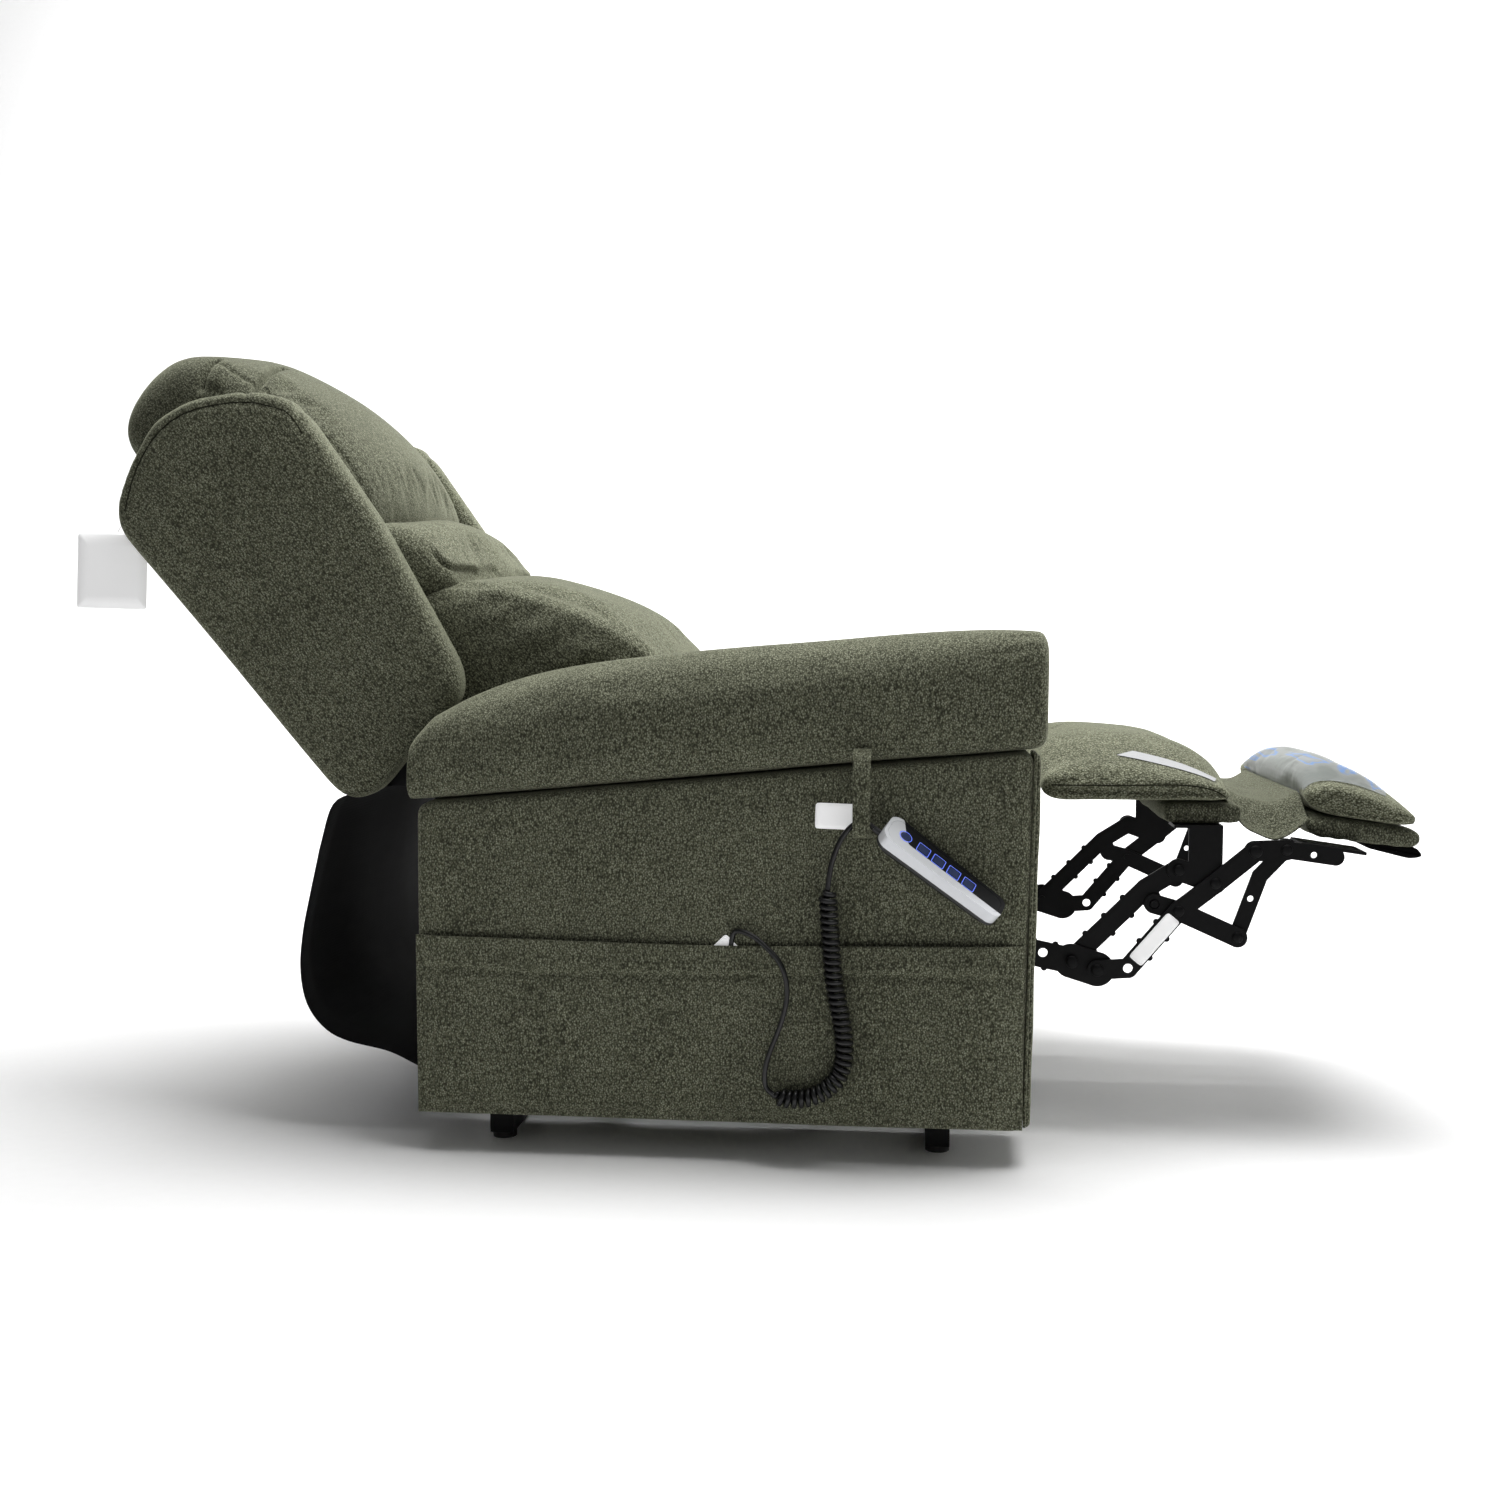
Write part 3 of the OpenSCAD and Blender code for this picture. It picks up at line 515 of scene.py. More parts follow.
def finePeel(name, hexText, roughness, grainMm, strength, metallic=0.0, shine=0.5):
    # Painted, plated or moulded surface: a fine orange peel, its gloss and tone uneven as if handled
    material, tree, shader = newMaterial(name, hexText, roughness, metallic)
    peel = noiseTexture(tree, 1000 / grainMm, 3.0).outputs["Fac"]
    rub = noiseTexture(tree, 26.0, 4.0).outputs["Fac"]
    tree.links.new(mapRange(tree, rub, 0.3, 0.7, roughness - 0.07, roughness + 0.09), shader.inputs["Roughness"])
    shader.inputs["Specular IOR Level"].default_value = shine
    tone = mapRange(tree, rub, 0.3, 0.7, 0.85, 1.25)
    paint = addNode(tree, "ShaderNodeVectorMath", {0: srgb(hexText)[:3], "Scale": tone}, operation="SCALE")
    tree.links.new(paint.outputs["Vector"], shader.inputs["Base Color"])
    bumpSkin(tree, shader, peel, strength, 0.0003)
    return material


# Paint and plastic stay near black and dull; plated, drawn and extruded metal is grey and bright
blackSteel = finePeel("powderCoatedSteel", "#060607", 0.48, 1.4, 0.3, shine=0.16)
springSteel = finePeel("drawnSpringSteel", "#7b7e81", 0.38, 2.0, 0.25, 1.0)
rodAluminium = finePeel("extrudedAluminium", "#a4a7aa", 0.32, 1.0, 0.2, 1.0)
motorAbs = finePeel("mouldedBlackAbs", "#232425", 0.5, 1.0, 0.5)
glidePlastic = finePeel("mouldedNylonGlide", "#121212", 0.55, 1.2, 0.4)
shellAbs = finePeel("mouldedHandsetAbs", "#1a1b1d", 0.38, 0.8, 0.25)


def twoToneShell(name):
    # Handset moulding: silver paint on its nose and lower band, glossy black above, with a crisp masked edge between
    material, tree, shader = newMaterial(name, "#c3c6c9", 0.28)
    place = addNode(tree, "ShaderNodeTexCoord")
    own = addNode(tree, "ShaderNodeMapping", {
        "Vector": place.outputs["Object"], "Location": tuple(v / 1000 for v in handsetPlace["origin"]),
        "Rotation": (math.radians(handsetPlace["roll"]), math.radians(handsetPlace["dip"]), 0)}, vector_type="TEXTURE")
    axes = addNode(tree, "ShaderNodeSeparateXYZ", {"Vector": own.outputs["Vector"]})
    rim = mapRange(tree, axes.outputs["X"], -0.075, -0.048, 0.028, -0.0088, interpolation_type="SMOOTHSTEP")
    above = addNode(tree, "ShaderNodeMath", {0: axes.outputs["Y"], 1: rim}, operation="SUBTRACT")
    black = mapRange(tree, above.outputs["Value"], -0.0003, 0.0003, 0, 1)
    rampColour(tree, shader, black, [(0.0, "#e2e4e8"), (1.0, "#08090c")])
    shader.inputs["Specular IOR Level"].default_value = 0.2
    bumpSkin(tree, shader, noiseTexture(tree, 900.0, 2.0).outputs["Fac"], 0.06, 0.0002)
    for socket, silver, gloss in (("Metallic", 0.3, 0.0), ("Roughness", 0.26, 0.4)):
        tree.links.new(mapRange(tree, black, 0, 1, silver, gloss), shader.inputs[socket])
    return material


splitHousing = twoToneShell("silverAndBlackAbs")
buttonRubber = finePeel("mouldedSiliconeButton", "#1b2a52", 0.35, 0.8, 0.15)
cordPvc = finePeel("extrudedPvcCord", "#060607", 0.36, 1.5, 0.12)

# Birch plywood: pale and dull, with long grain
plywood, tree, shader = newMaterial("birchPlywood", "#b79463", 0.7)
grain = noiseTexture(tree, 1.0, 4.0, objectPoint(tree, backLean, (30, 120, 6)))
rampColour(tree, shader, grain.outputs["Fac"], [(0.3, "#a07e50"), (0.7, "#c9a877")])

# Spun-bonded polypropylene: soot black and dull, pressed with a fine dot grid
flapCloth, tree, shader = newMaterial("spunbondPolypropylene", "#060606", 0.9)
shader.inputs["Specular IOR Level"].default_value = 0.08
dots = addNode(tree, "ShaderNodeTexVoronoi", {"Vector": objectPoint(tree), "Scale": 260.0, "Randomness": 0.1})
bumpSkin(tree, shader, dots.outputs["Distance"], 0.5, 0.0006)
rampColour(tree, shader, noiseTexture(tree, 20.0, 5.0).outputs["Fac"], [(0.3, "#040404"), (0.75, "#0a0a0b")])

# Coated card: white, faintly mottled, with a faint painted glow that keeps it bright white
tagCardPaintedGlow, tree, shader = newMaterial("coatedTagCardPaintedGlow", "#f3f3f4", 0.5)
rampColour(tree, shader, noiseTexture(tree, 300.0, 3.0).outputs["Fac"], [(0.3, "#eeeeef"), (0.7, "#f8f8f8")])
shader.inputs["Emission Color"].default_value = srgb("#ffffff")
shader.inputs["Emission Strength"].default_value = 0.3

# Backlit line in the handset's face: soft blue light
glow, tree, shader = newMaterial("litBlueOutline", "#2f5df0", 0.3)
shader.inputs["Emission Color"].default_value = srgb("#8f9cf0")
shader.inputs["Emission Strength"].default_value = 0.5

nodeFinish = {
    blackSteel: ["base_frame", "lift_brackets", "lift_arms", "lift_links", "chassis_plates", "chassis_tubes", "seat_rails",
                 "back_brackets", "swing_bars", "drive_tube", "ottoman_links", "long_links", "cross_links", "foot_links",
                 "leg_brackets", "foot_brackets"],
    glidePlastic: ["base_glides"],
    springSteel: ["seat_springs"],
    rodAluminium: ["leg_motor_rod", "back_motor_rod"],
    motorAbs: ["leg_motor", "back_motor", "power_box"],
    plywood: ["back_frame"],
    shellAbs: ["handset_back"],
    splitHousing: ["handset_shell", "handset_face"],
    buttonRubber: ["button_power", "button_1", "button_2", "button_3", "button_4"],
}
for material, names in nodeFinish.items():
    for name in names:
        slots = nodes[name].material_slots
        for slot in slots:
            slot.material = material
        if not slots:
            nodes[name].data.materials.append(material)
print("materials made:", len(bpy.data.materials))


cordSpec = {"wireMm": 6.6, "coilMm": 8.5, "pitchMm": 8.0, "y": -407.5}
cordY = cordSpec["y"]
cordRoute = [(172.2, -408.9, 413), (165.5, -408.9, 417.8), (156, -408.5, 419.5), (145, -407.8, 413.5), (133, cordY, 397),
             (123, cordY, 371), (118, cordY, 339)]
curlRoute = [(118, cordY, 340), (121, cordY, 290), (126, cordY, 230), (138, cordY, 160), (134, cordY, 118),
             (110, cordY, 92), (78, cordY, 84), (54, cordY, 88)]
leadRoute = [(55, cordY, 88), (44, cordY, 100), (46, cordY, 130), (64, cordY, 180), (70, cordY, 215),
             (62, cordY, 248), (36, -401, 274), (16, -397, 284), (4, -390, 281), (0, -388.5, 262)]


def coiledCord(spec):
    head = curvePoints(cordRoute, 30)[:-1]
    axis = curvePoints(curlRoute, 400)
    tail = curvePoints(leadRoute, 60)[1:]
    lengths = runAlong(axis)
    turns = int(lengths[-1] / spec["pitchMm"])
    count = turns * 16
    across = np.array([0.0, 1.0, 0.0])
    coil = []
    for i in range(count + 1):
        s = lengths[-1] * i / count
        centre = np.array([np.interp(s, lengths, axis[:, k]) for k in range(3)])
        ahead = np.array([np.interp(min(s + 2, lengths[-1]), lengths, axis[:, k]) for k in range(3)])
        behind = np.array([np.interp(max(s - 2, 0), lengths, axis[:, k]) for k in range(3)])
        way = (ahead - behind) / np.linalg.norm(ahead - behind)
        side = np.cross(way, across)
        side /= np.linalg.norm(side)
        up = np.cross(side, way)
        grow = float(smoothStep(min(s, lengths[-1] - s) / 10))
        angle = 2 * math.pi * turns * i / count
        coil.append(centre + spec["coilMm"] * grow * (side * math.cos(angle) + up * math.sin(angle)))
    return np.vstack([head, np.array(coil), tail]) / 1000


cordPoints = coiledCord(cordSpec)
cordPiece = tube("handsetCord", cordPoints, cordSpec["wireMm"] / 2000, cordPvc, 8)
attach(cordPiece, "chassis")
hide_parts("handset_cord", "handset_curl", "handset_lead")


wingShape = {
    "outline": [(-813, 776), (-816, 808), (-797, 859), (-764, 916), (-714, 944), (-640, 954), (-594, 947), (-574, 938),
                (-555, 913), (-466, 786), (-364, 602), (-359, 578), (-362, 557), (-434, 484), (-472, 437), (-505, 425),
                (-526, 436)],
    "yOuter": -299, "yInner": -241, "edge": 18,
    "seam": [(-800, 800), (-783, 854), (-752, 900), (-708, 927), (-642, 937), (-598, 930), (-578, 921), (-560, 896)],
}


def makeWing():
    w = wingShape
    loop = roundLoop(w["outline"], 8, 5)
    piece = loftAcross("wingRight", loop, w["yOuter"], w["yInner"], w["edge"], material=tweedBack, stations=5)
    evenMesh(piece, 5, 8)
    # Slightly stuffed outer face, flatter at the rim
    points, normals = vertexArray(piece) * 1000, vertexArray(piece, "normal")
    rim, _, _ = pathDistance(points[:, [0, 2]], np.vstack([loop, loop[:1]]))
    outer = smoothStep((-normals[:, 1] - 0.2) / 0.5)
    points[:, 1] -= 5.5 * outer * smoothStep(rim / 90)
    setVertices(piece, points / 1000)
    ripple(piece, 1.0, 190, 3)
    sewSeam(piece, w["seam"], 2.6, 3.2, [0, 2], (0, -1, 0), pucker=0.5, puckerEvery=17)
    for x, z, a in [(-640, 950, 60), (-574, 935, 20)]:
        tip = [(x, z + 6), (x + 12 * math.cos(math.radians(a)), z - 26)]
        sewSeam(piece, tip, 3, 4, [0, 2], None, smooth=False)
    return piece


wingRight = makeWing()
wingLeft = mirrored(wingRight, "wingLeft")
for piece, node in ((wingRight, "wing_right"), (wingLeft, "wing_left")):
    finishPiece(piece, "back", node, fill=0.5)
print("wings made")


def backPoint(u, v):
    # The back's own axes: u forward from its rear face, v up along it
    turn = math.radians(backLean)
    return (-526 + u * math.cos(turn) - v * math.sin(turn), 436 + u * math.sin(turn) + v * math.cos(turn))


def awayFromRear(loop, out):
    # Crown the front and top of a pillow, not the side that lies on the frame
    turn = math.radians(backLean)
    forward = out @ np.array([math.cos(turn), math.sin(turn)])
    return smoothStep((forward + 0.5) / 0.9)


pillowSpecs = {
    "headPillow": {
        "node": "head_pillow", "half": 236, "edge": 46, "crown": 26, "cap": 9,
        "outline": [(52, 254), (52, 560), (84, 588), (132, 601), (180, 594), (205, 575), (228, 546), (246, 506), (266, 450),
                    (277, 388), (277, 330), (270, 290), (258, 262), (240, 252)]},
    "middlePillow": {
        "node": "middle_pillow", "half": 236, "edge": 24, "crown": 24, "cap": 8,
        "outline": [(52, 128), (52, 250), (228, 254), (258, 242), (278, 212), (291, 176), (298, 140),
                    (294, 118), (268, 116)]},
    "lumbarPillow": {
        "node": "lumbar_pillow", "half": 233, "edge": 9, "crown": 12, "cap": 8,
        "outline": [(52, -30), (52, 128), (220, 140), (262, 136), (300, 108), (340, 74), (362, 38), (384, 2), (405, -36),
                    (425, -84), (437, -130), (430, -150), (400, -184), (345, -203)]},
}


def makePillow(name, spec):
    outline = [backPoint(u, v) for u, v in spec["outline"]]
    loop = roundLoop(outline, 9, 7)
    material = tweedHeadShaded if name == "headPillow" else tweedBack
    piece = loftAcross(name, loop, -spec["half"], spec["half"], spec["edge"], spec["crown"], awayFromRear, material)
    evenMesh(piece, 6.5, 6)
    return piece


pillows = {name: makePillow(name, spec) for name, spec in pillowSpecs.items()}


def rearPinned(points):
    # Held where the pillow is stapled to the frame
    turn = math.radians(backLean)
    u = (points[:, 0] + 526) * math.cos(turn) + (points[:, 2] - 436) * math.sin(turn)
    return u < 75


for name, spec in pillowSpecs.items():
    queuePadding(pillows[name], 3.5, spec["cap"], rearPinned)


armShape = {  # stations: X, seam height, crest height; mm
    "stations": [(-402, 436, 512), (-396, 437, 520), (-378, 438, 541), (-339, 441, 560), (-287, 446, 577), (-223, 452, 595),
                 (-172, 457, 603), (-110, 462, 610), (-46, 468, 617), (78, 480, 628), (201, 491, 638), (300, 499, 645),
                 (345, 503, 647), (362, 504, 646)],
    "yMid": -320, "half": 64.5, "round": 3.1,
}


def armRing(x, foot, crest, shrink=0.0, count=56):
    a = armShape
    zMid, tall = (foot + crest) / 2, (crest - foot) / 2
    ring = []
    for i in range(count):
        t = 2 * math.pi * i / count
        c, s = math.cos(t), math.sin(t)
        power = 2 / a["round"] if s > 0 else 2 / 7
        y = a["yMid"] + (a["half"] - shrink) * math.copysign(abs(c) ** (2 / 3.4 if s > 0 else 2 / 9), c)
        z = zMid + (tall - shrink) * math.copysign(abs(s) ** power, s)
        ring.append((x, y, z))
    return np.array(ring)


def makeArm():
    a = armShape
    rings = []
    rows = [(-405, 3, 16), (-404, 1, 7)]
    first, last = a["stations"][0], a["stations"][-1]
    for x, gap, shrink in rows:
        rings.append(armRing(x, first[1], first[2], shrink))
    for x, foot, crest in a["stations"]:
        rings.append(armRing(x, foot, crest))
    for t in np.linspace(0, math.pi / 2, 6):
        rings.append(armRing(362 + 16 * math.sin(t), last[1], last[2], 15 * (1 - math.cos(t))))
    piece = loftRings("armRight", rings, tweedSide)
    evenMesh(piece, 6, 5)
    return piece


armRight = makeArm()


def armPinned(points):
    return (points[:, 2] < 436 + (points[:, 0] + 402) * 0.0890 + 10) | (points[:, 0] > 368)


queuePadding(armRight, 2.6, 6, armPinned)


def slopeSides(piece, half, reach, drop, foot):
    # The pad's top falls away to a thin edge on both sides, as a stuffed and sewn pad does; mm
    points = vertexArray(piece) * 1000
    tall = points[:, 2] - foot(points[:, 0])
    high = np.percentile(tall, 98)
    fall = smoothStep((np.abs(points[:, 1]) - half + reach) / reach) ** 1.4
    points[:, 2] -= drop * fall * np.clip(tall / high, 0, 1)
    setVertices(piece, points / 1000)


seatShape = {"outline": [(-36, 446), (338, 446), (348, 455), (354, 466), (354, 480), (340, 492), (250, 494), (60, 492),
                         (-20, 486), (-36, 470)], "half": 224, "edge": 16, "crown": 6}


def upward(loop, out):
    return smoothStep(out[:, 1] * 2)



def makePad(name, shape, loop, crownFor=upward, material=tweedTopLit):
    return loftAcross(name, loop, -shape["half"], shape["half"], shape["edge"], shape["crown"], crownFor, material)


seatPad = makePad("seatCushion", seatShape, roundLoop(seatShape["outline"], 9, 3))
evenMesh(seatPad, 7, 5)
queuePadding(seatPad, 3.0, 8, lambda p: p[:, 2] < 452)

legShape = {"outline": [(380, 450), (396, 431), (606, 431), (620, 440), (616, 458), (594, 482), (558, 498), (500, 506),
                        (440, 508), (396, 505), (380, 494)], "half": 246, "edge": 14, "crown": 3}
legPad = makePad("legCushion", legShape, roundLoop(legShape["outline"], 8, 3))
evenMesh(legPad, 6, 5)
slopeSides(legPad, legShape["half"], 150, 40, lambda x: 431)
queuePadding(legPad, 3.0, 7, lambda p: p[:, 2] < 446)

footShape = {"outline": [(724, 424), (713, 433), (709, 449), (718, 464), (742, 471), (774, 463), (808, 446), (842, 423),
                         (853, 407), (841, 400), (742, 412)], "half": 222, "edge": 12, "crown": 6}
footPad = makePad("footCushion", footShape, roundLoop(footShape["outline"], 7, 3))
evenMesh(footPad, 5, 4)
slopeSides(footPad, footShape["half"], 110, 22, lambda x: 412 - 0.1 * (x - 722))
queuePadding(footPad, 3.0, 7, lambda p: p[:, 2] < 404 - 0.11 * (p[:, 0] - 722) + 12)

simulatePadding()
print("pads shaped")


head = pillows["headPillow"]
middle = pillows["middlePillow"]
lumbar = pillows["lumbarPillow"]


def refine(piece):
    # Halves the faces, so that narrow folds can be pressed in
    fine = piece.modifiers.new("fine", "SUBSURF")
    fine.levels = 1
    bakeModifiers(piece)


refine(head)
refine(middle)

# Gathers where the head pillow's top corners are drawn in, on both sides: X, Y, Z, mm
gathers = [([(-711, 190, 1014), (-716, 214, 1002), (-719, 231, 982), (-720, 236, 958)], 12, 4.5),
           ([(-650, 226, 955), (-652, 208, 976), (-656, 170, 993), (-664, 128, 1001), (-671, 70, 1012)], 14, 4.5)]
for side in (-1, 1):
    for spots, depth, width in gathers:
        sewSeam(head, [(x, side * y, z) for x, y, z in spots], depth, width, fade=14)
        sewSeam(head, [(x + 15, side * y, z) for x, y, z in spots], -3, 10, fade=20)
    # Side seam down the pillow's end, and short tension folds along its foot
    edge = [backPoint(u, v) for u, v in [(236, 556), (268, 480), (288, 400), (293, 330), (288, 268)]]
    sewSeam(head, [(x, side * 222, z) for x, z in edge], 2.4, 3.4, pucker=0.7, puckerEvery=19)
    for k in range(9):
        y = side * (36 + 22 * k)
        foot = [backPoint(u, v) for u, v in [(292, 262), (306, 300 + 9 * (k % 3)), (308, 330 + 12 * (k % 2))]]
        sewSeam(head, [(x, y + side * shift, z) for (x, z), shift in zip(foot, (0, 3, 5))], 0.8, 4.0, fade=22)

# Tuck from the crease into the middle pillow, and the pull lines about it
for side in (-1, 1):
    tuck = [(-418, side * 219, 760), (-404, side * 226, 741), (-388, side * 212, 729), (-377, side * 120, 729)]
    sewSeam(middle, tuck, 6, 3.6, fade=16)
    sewSeam(middle, [(x + 7, y, z + 12) for x, y, z in tuck], -1.6, 8, fade=16)
    low = [backPoint(u, v) for u, v in [(306, 128), (318, 118), (316, 112)]]
    sewSeam(middle, [(x, side * y, z) for (x, z), y in zip(low, (60, 130, 215))], 4, 7)

# Piped rim along each end of the lumbar pillow, with pulled cloth below it
rim = [backPoint(u, v) for u, v in [(200, 133), (262, 129), (296, 103), (334, 70), (356, 35), (378, -1), (399, -39),
                                    (418, -86), (429, -130)]]
pulls = [(386, -14, 92), (398, -44, 120), (408, -74, 130), (372, 12, 70), (350, 40, 60), (416, -98, 104)]  # u, v, drop
for side in (-1, 1):
    sewSeam(lumbar, rim, 3.6, 3.0, [0, 2], (0, side, 0), pucker=0.5, puckerEvery=21)
    sewSeam(lumbar, [(x + 7, z + 6) for x, z in rim], -2.6, 4.0, [0, 2], (0, side, 0))
    for k, (u, v, drop) in enumerate(pulls):
        x, z = backPoint(u, v)
        fold = [(x - 4, z - 4), (x - 36 - 0.3 * drop, z - 18 - 0.18 * drop), (x - 60 - 0.6 * drop, z - 24 - 0.4 * drop)]
        sewSeam(lumbar, fold, 2.0 if k % 2 else -1.8, 7, [0, 2], (0, side, 0), fade=34)

for name, spec in pillowSpecs.items():
    ripple(pillows[name], 1.6, 170, len(name))
    finishPiece(pillows[name], "back", spec["node"], fill=0.75)
print("pillows sewn")

sewSeam(armRight, [(358, 508), (360, 560), (358, 612), (350, 634)], 1.6, 3.0, [0, 2], (0, -1, 0), pucker=0.3)
ripple(armRight, 0.9, 240, 11)
armLeft = mirrored(armRight, "armLeft")
finishPiece(armRight, "chassis", "arm_right", fill=0.7)
finishPiece(armLeft, "chassis", "arm_left", fill=0.7)

for side in (-1, 1):
    sewSeam(seatPad, [(-30, side * 214, 500), (150, side * 216, 502), (340, side * 214, 498)], 2.2, 4, pucker=0.5)
sewSeam(seatPad, [(346, -215, 492), (348, 0, 496), (346, 215, 492)], 2.0, 4, pucker=0.5)
ripple(seatPad, 1.4, 160, 5)
finishPiece(seatPad, "chassis", "seat_cushion", fill=0.7)

for side in (-1, 1):
    sewSeam(legPad, [(384, side * 248, 444), (500, side * 249, 443), (618, side * 247, 442)], 4.2, 3.4, pucker=0.5)
sewSeam(legPad, [(622, -238, 446), (626, 0, 446), (622, 238, 446)], 2.4, 3.2, pucker=0.4)
for k, y in enumerate((-196, -120, -30, 70, 160)):
    sewSeam(legPad, [(610, y, 470), (585, y + 8, 488), (545, y + 14, 503)], 1.6 if k % 2 else -1.4, 12, fade=26)
ripple(legPad, 1.2, 150, 7)
finishPiece(legPad, "leg_rest", "leg_cushion", fill=0.7)

for side in (-1, 1):
    sewSeam(footPad, [(684, side * 221, 434), (722, side * 222, 424), (800, side * 222, 412),
                      (846, side * 219, 405)], 3.8, 3.2, pucker=0.5)
    for k, (x, z) in enumerate([(690, 470), (735, 455), (775, 438)]):
        sewSeam(footPad, [(x, side * 222, z + 6), (x - 10, side * 223, z - 16), (x - 24, side * 222, z - 32)],
                1.8, 6, fade=14)
ripple(footPad, 1.0, 120, 9)
finishPiece(footPad, "foot_rest", "foot_cushion", fill=0.7)
print("arms, seat and foot pads sewn")


boxShape = {"outline": [(-395, 44), (352, 42), (361, 502), (-391, 434)], "yOuter": -385, "yInner": -255, "edge": 9}


def makeSideBox():
    b = boxShape
    loop = roundLoop(b["outline"], 7, 2)
    piece = loftAcross("sideBoxRight", loop, b["yOuter"], b["yInner"], b["edge"], material=tweedSide, stations=6)
    evenMesh(piece, 6.5, 4)
    points, normals = vertexArray(piece) * 1000, vertexArray(piece, "normal")
    outer = smoothStep((-normals[:, 1] - 0.3) / 0.5)
    rim, _, _ = pathDistance(points[:, [0, 2]], np.vstack([loop, loop[:1]]))
    # Cloth pulled over the frame: a shallow belly with slow waves along its foot
    wave = 1.6 * np.sin(points[:, 0] / 62 + 1.3) * smoothStep((260 - points[:, 2]) / 200)
    points[:, 1] -= outer * smoothStep(rim / 60) * (2.0 + wave)
    setVertices(piece, points / 1000)
    ripple(piece, 0.5, 210, 17)
    return piece


sideBoxRight = makeSideBox()
sideBoxLeft = mirrored(sideBoxRight, "sideBoxLeft")
sewSeam(sideBoxLeft, [(-393, 276), (-100, 274), (356, 276)], 2.0, 3.0, [0, 2], (0, 1, 0), smooth=False)
for piece, node in ((sideBoxRight, "side_panel_right"), (sideBoxLeft, "side_panel_left")):
    finishPiece(piece, "chassis", node, fill=0.3)

pocketShape = {"x0": -392, "x1": 351, "foot": 48, "mouth": 271, "yWall": -386.2, "yFar": -394.2, "thick": 2.0, "hem": 39}


def makePocket():
    # One layer of cloth, sewn down at its foot and both ends, with a turned hem at the mouth
    k = pocketShape
    columns, rows = 150, 56
    grid = []
    for j in range(rows + 1):
        for i in range(columns + 1):
            s, t = i / columns, j / rows
            x = k["x0"] + (k["x1"] - k["x0"]) * s
            sag = 5.0 * math.sin(math.pi * s) ** 2 * t
            z = k["foot"] + (k["mouth"] - k["foot"]) * t - sag
            ends = min(1.0, min(s, 1 - s) * 22)
            rise = min(1.0, t * 9)
            ends = ends * ends * (3 - 2 * ends)
            y = k["yWall"] + (k["yFar"] - k["yWall"]) * ends * rise * rise * (3 - 2 * rise)
            y += 0.9 * math.sin(s * 17 + 1.0) * math.sin(math.pi * t) * ends
            y += 1.6 * math.exp(-((s - 0.62) / 0.1) ** 2) * t * ends
            stitch = k["mouth"] - sag - k["hem"] - 3 * math.sin(s * 7)
            y += 3.4 * math.exp(-((z - stitch) / 4.0) ** 2) * ends
            y -= 1.6 * math.exp(-((z - stitch - 12) / 8.0) ** 2) * ends
            grid.append((x, y, z))
    piece = makeObject("sidePocket", np.array(grid) / 1000, gridFaces(columns, rows), tweedSide)
    thicken(piece, k["thick"] / 1000, 0)
    return piece


pocket = makePocket()
finishPiece(pocket, "chassis", "side_pocket")

facingShape = {"z0": 47, "z1": 498, "weltRadius": 1.9}


def frontLean(z):
    # The front edge leans forward as it rises; mm
    return 9 * (z - 42) / 460


def makeFacing():
    # Padded strip up the front of the side box, edged by a welt
    f = facingShape
    rings = []
    for z, inset in [(f["z0"], 7), (f["z0"] + 1, 3), (f["z0"] + 6, 0)] + [(z, 0) for z in np.linspace(70, 470, 12)] + \
            [(f["z1"] - 8, 0), (f["z1"] - 2, 2), (f["z1"], 6)]:
        x = 352.6 + frontLean(z)
        ring = []
        for i in range(40):
            t = 2 * math.pi * i / 40
            c, s = math.cos(t), math.sin(t)
            ring.append((x + 4.5 + (4.5 - inset * 0.4) * math.copysign(abs(c) ** 0.7, c),
                         -320 + (59 - inset) * math.copysign(abs(s) ** 0.28, s), z))
        rings.append(np.array(ring))
    piece = loftRings("armFacingRight", rings, tweedSide)
    evenMesh(piece, 3.5, 3)
    ripple(piece, 0.4, 120, 21)
    return piece


facingRight = makeFacing()
facingLeft = mirrored(facingRight, "armFacingLeft")
for piece in (facingRight, facingLeft):
    finishPiece(piece, "chassis", "arm_fronts", fill=0.4)


for side, tag in ((-1, "Right"), (1, "Left")):
    path = np.array([(353.5 + frontLean(z), side * 380.5, z) for z in np.linspace(50, 500, 30)])
    finishPiece(tube("facingWelt" + tag, path / 1000, facingShape["weltRadius"] / 1000, tweedSide, 8), "chassis")
print("side boxes, pocket and facings made")


outsideBack = {"outline": [(0, -8), (13, -8), (13, 464.5), (51, 464.5), (51, 470), (0, 470)], "half": 242.5}
backLoop = roundLoop([backPoint(u, v) for u, v in outsideBack["outline"]], 3, 1)
backPanel = loftAcross("outsideBack", backLoop, -outsideBack["half"], outsideBack["half"], 3,
                       material=tweedBack, stations=20)
evenMesh(backPanel, 5, 3)
for y in (-228, 228):
    sewSeam(backPanel, [(backPoint(0, v)[0], y, backPoint(0, v)[1]) for v in (-10, 210, 455)], 1.6, 3, pucker=0.3)
ripple(backPanel, 0.7, 200, 31)
finishPiece(backPanel, "back", "back_panel", fill=0.2)


flapShape = {"line": [(-410, 445), (-446, 443), (-478, 440), (-503, 436), (-522, 431), (-534, 422), (-541, 405),
                      (-550, 362), (-563, 310), (-575, 256), (-579, 206), (-570, 162), (-546, 131), (-514, 115),
                      (-458, 103), (-421, 87), (-399, 76)], "half": 312,
             "widths": [(60, 236), (76, 296), (130, 296), (190, 312)]}


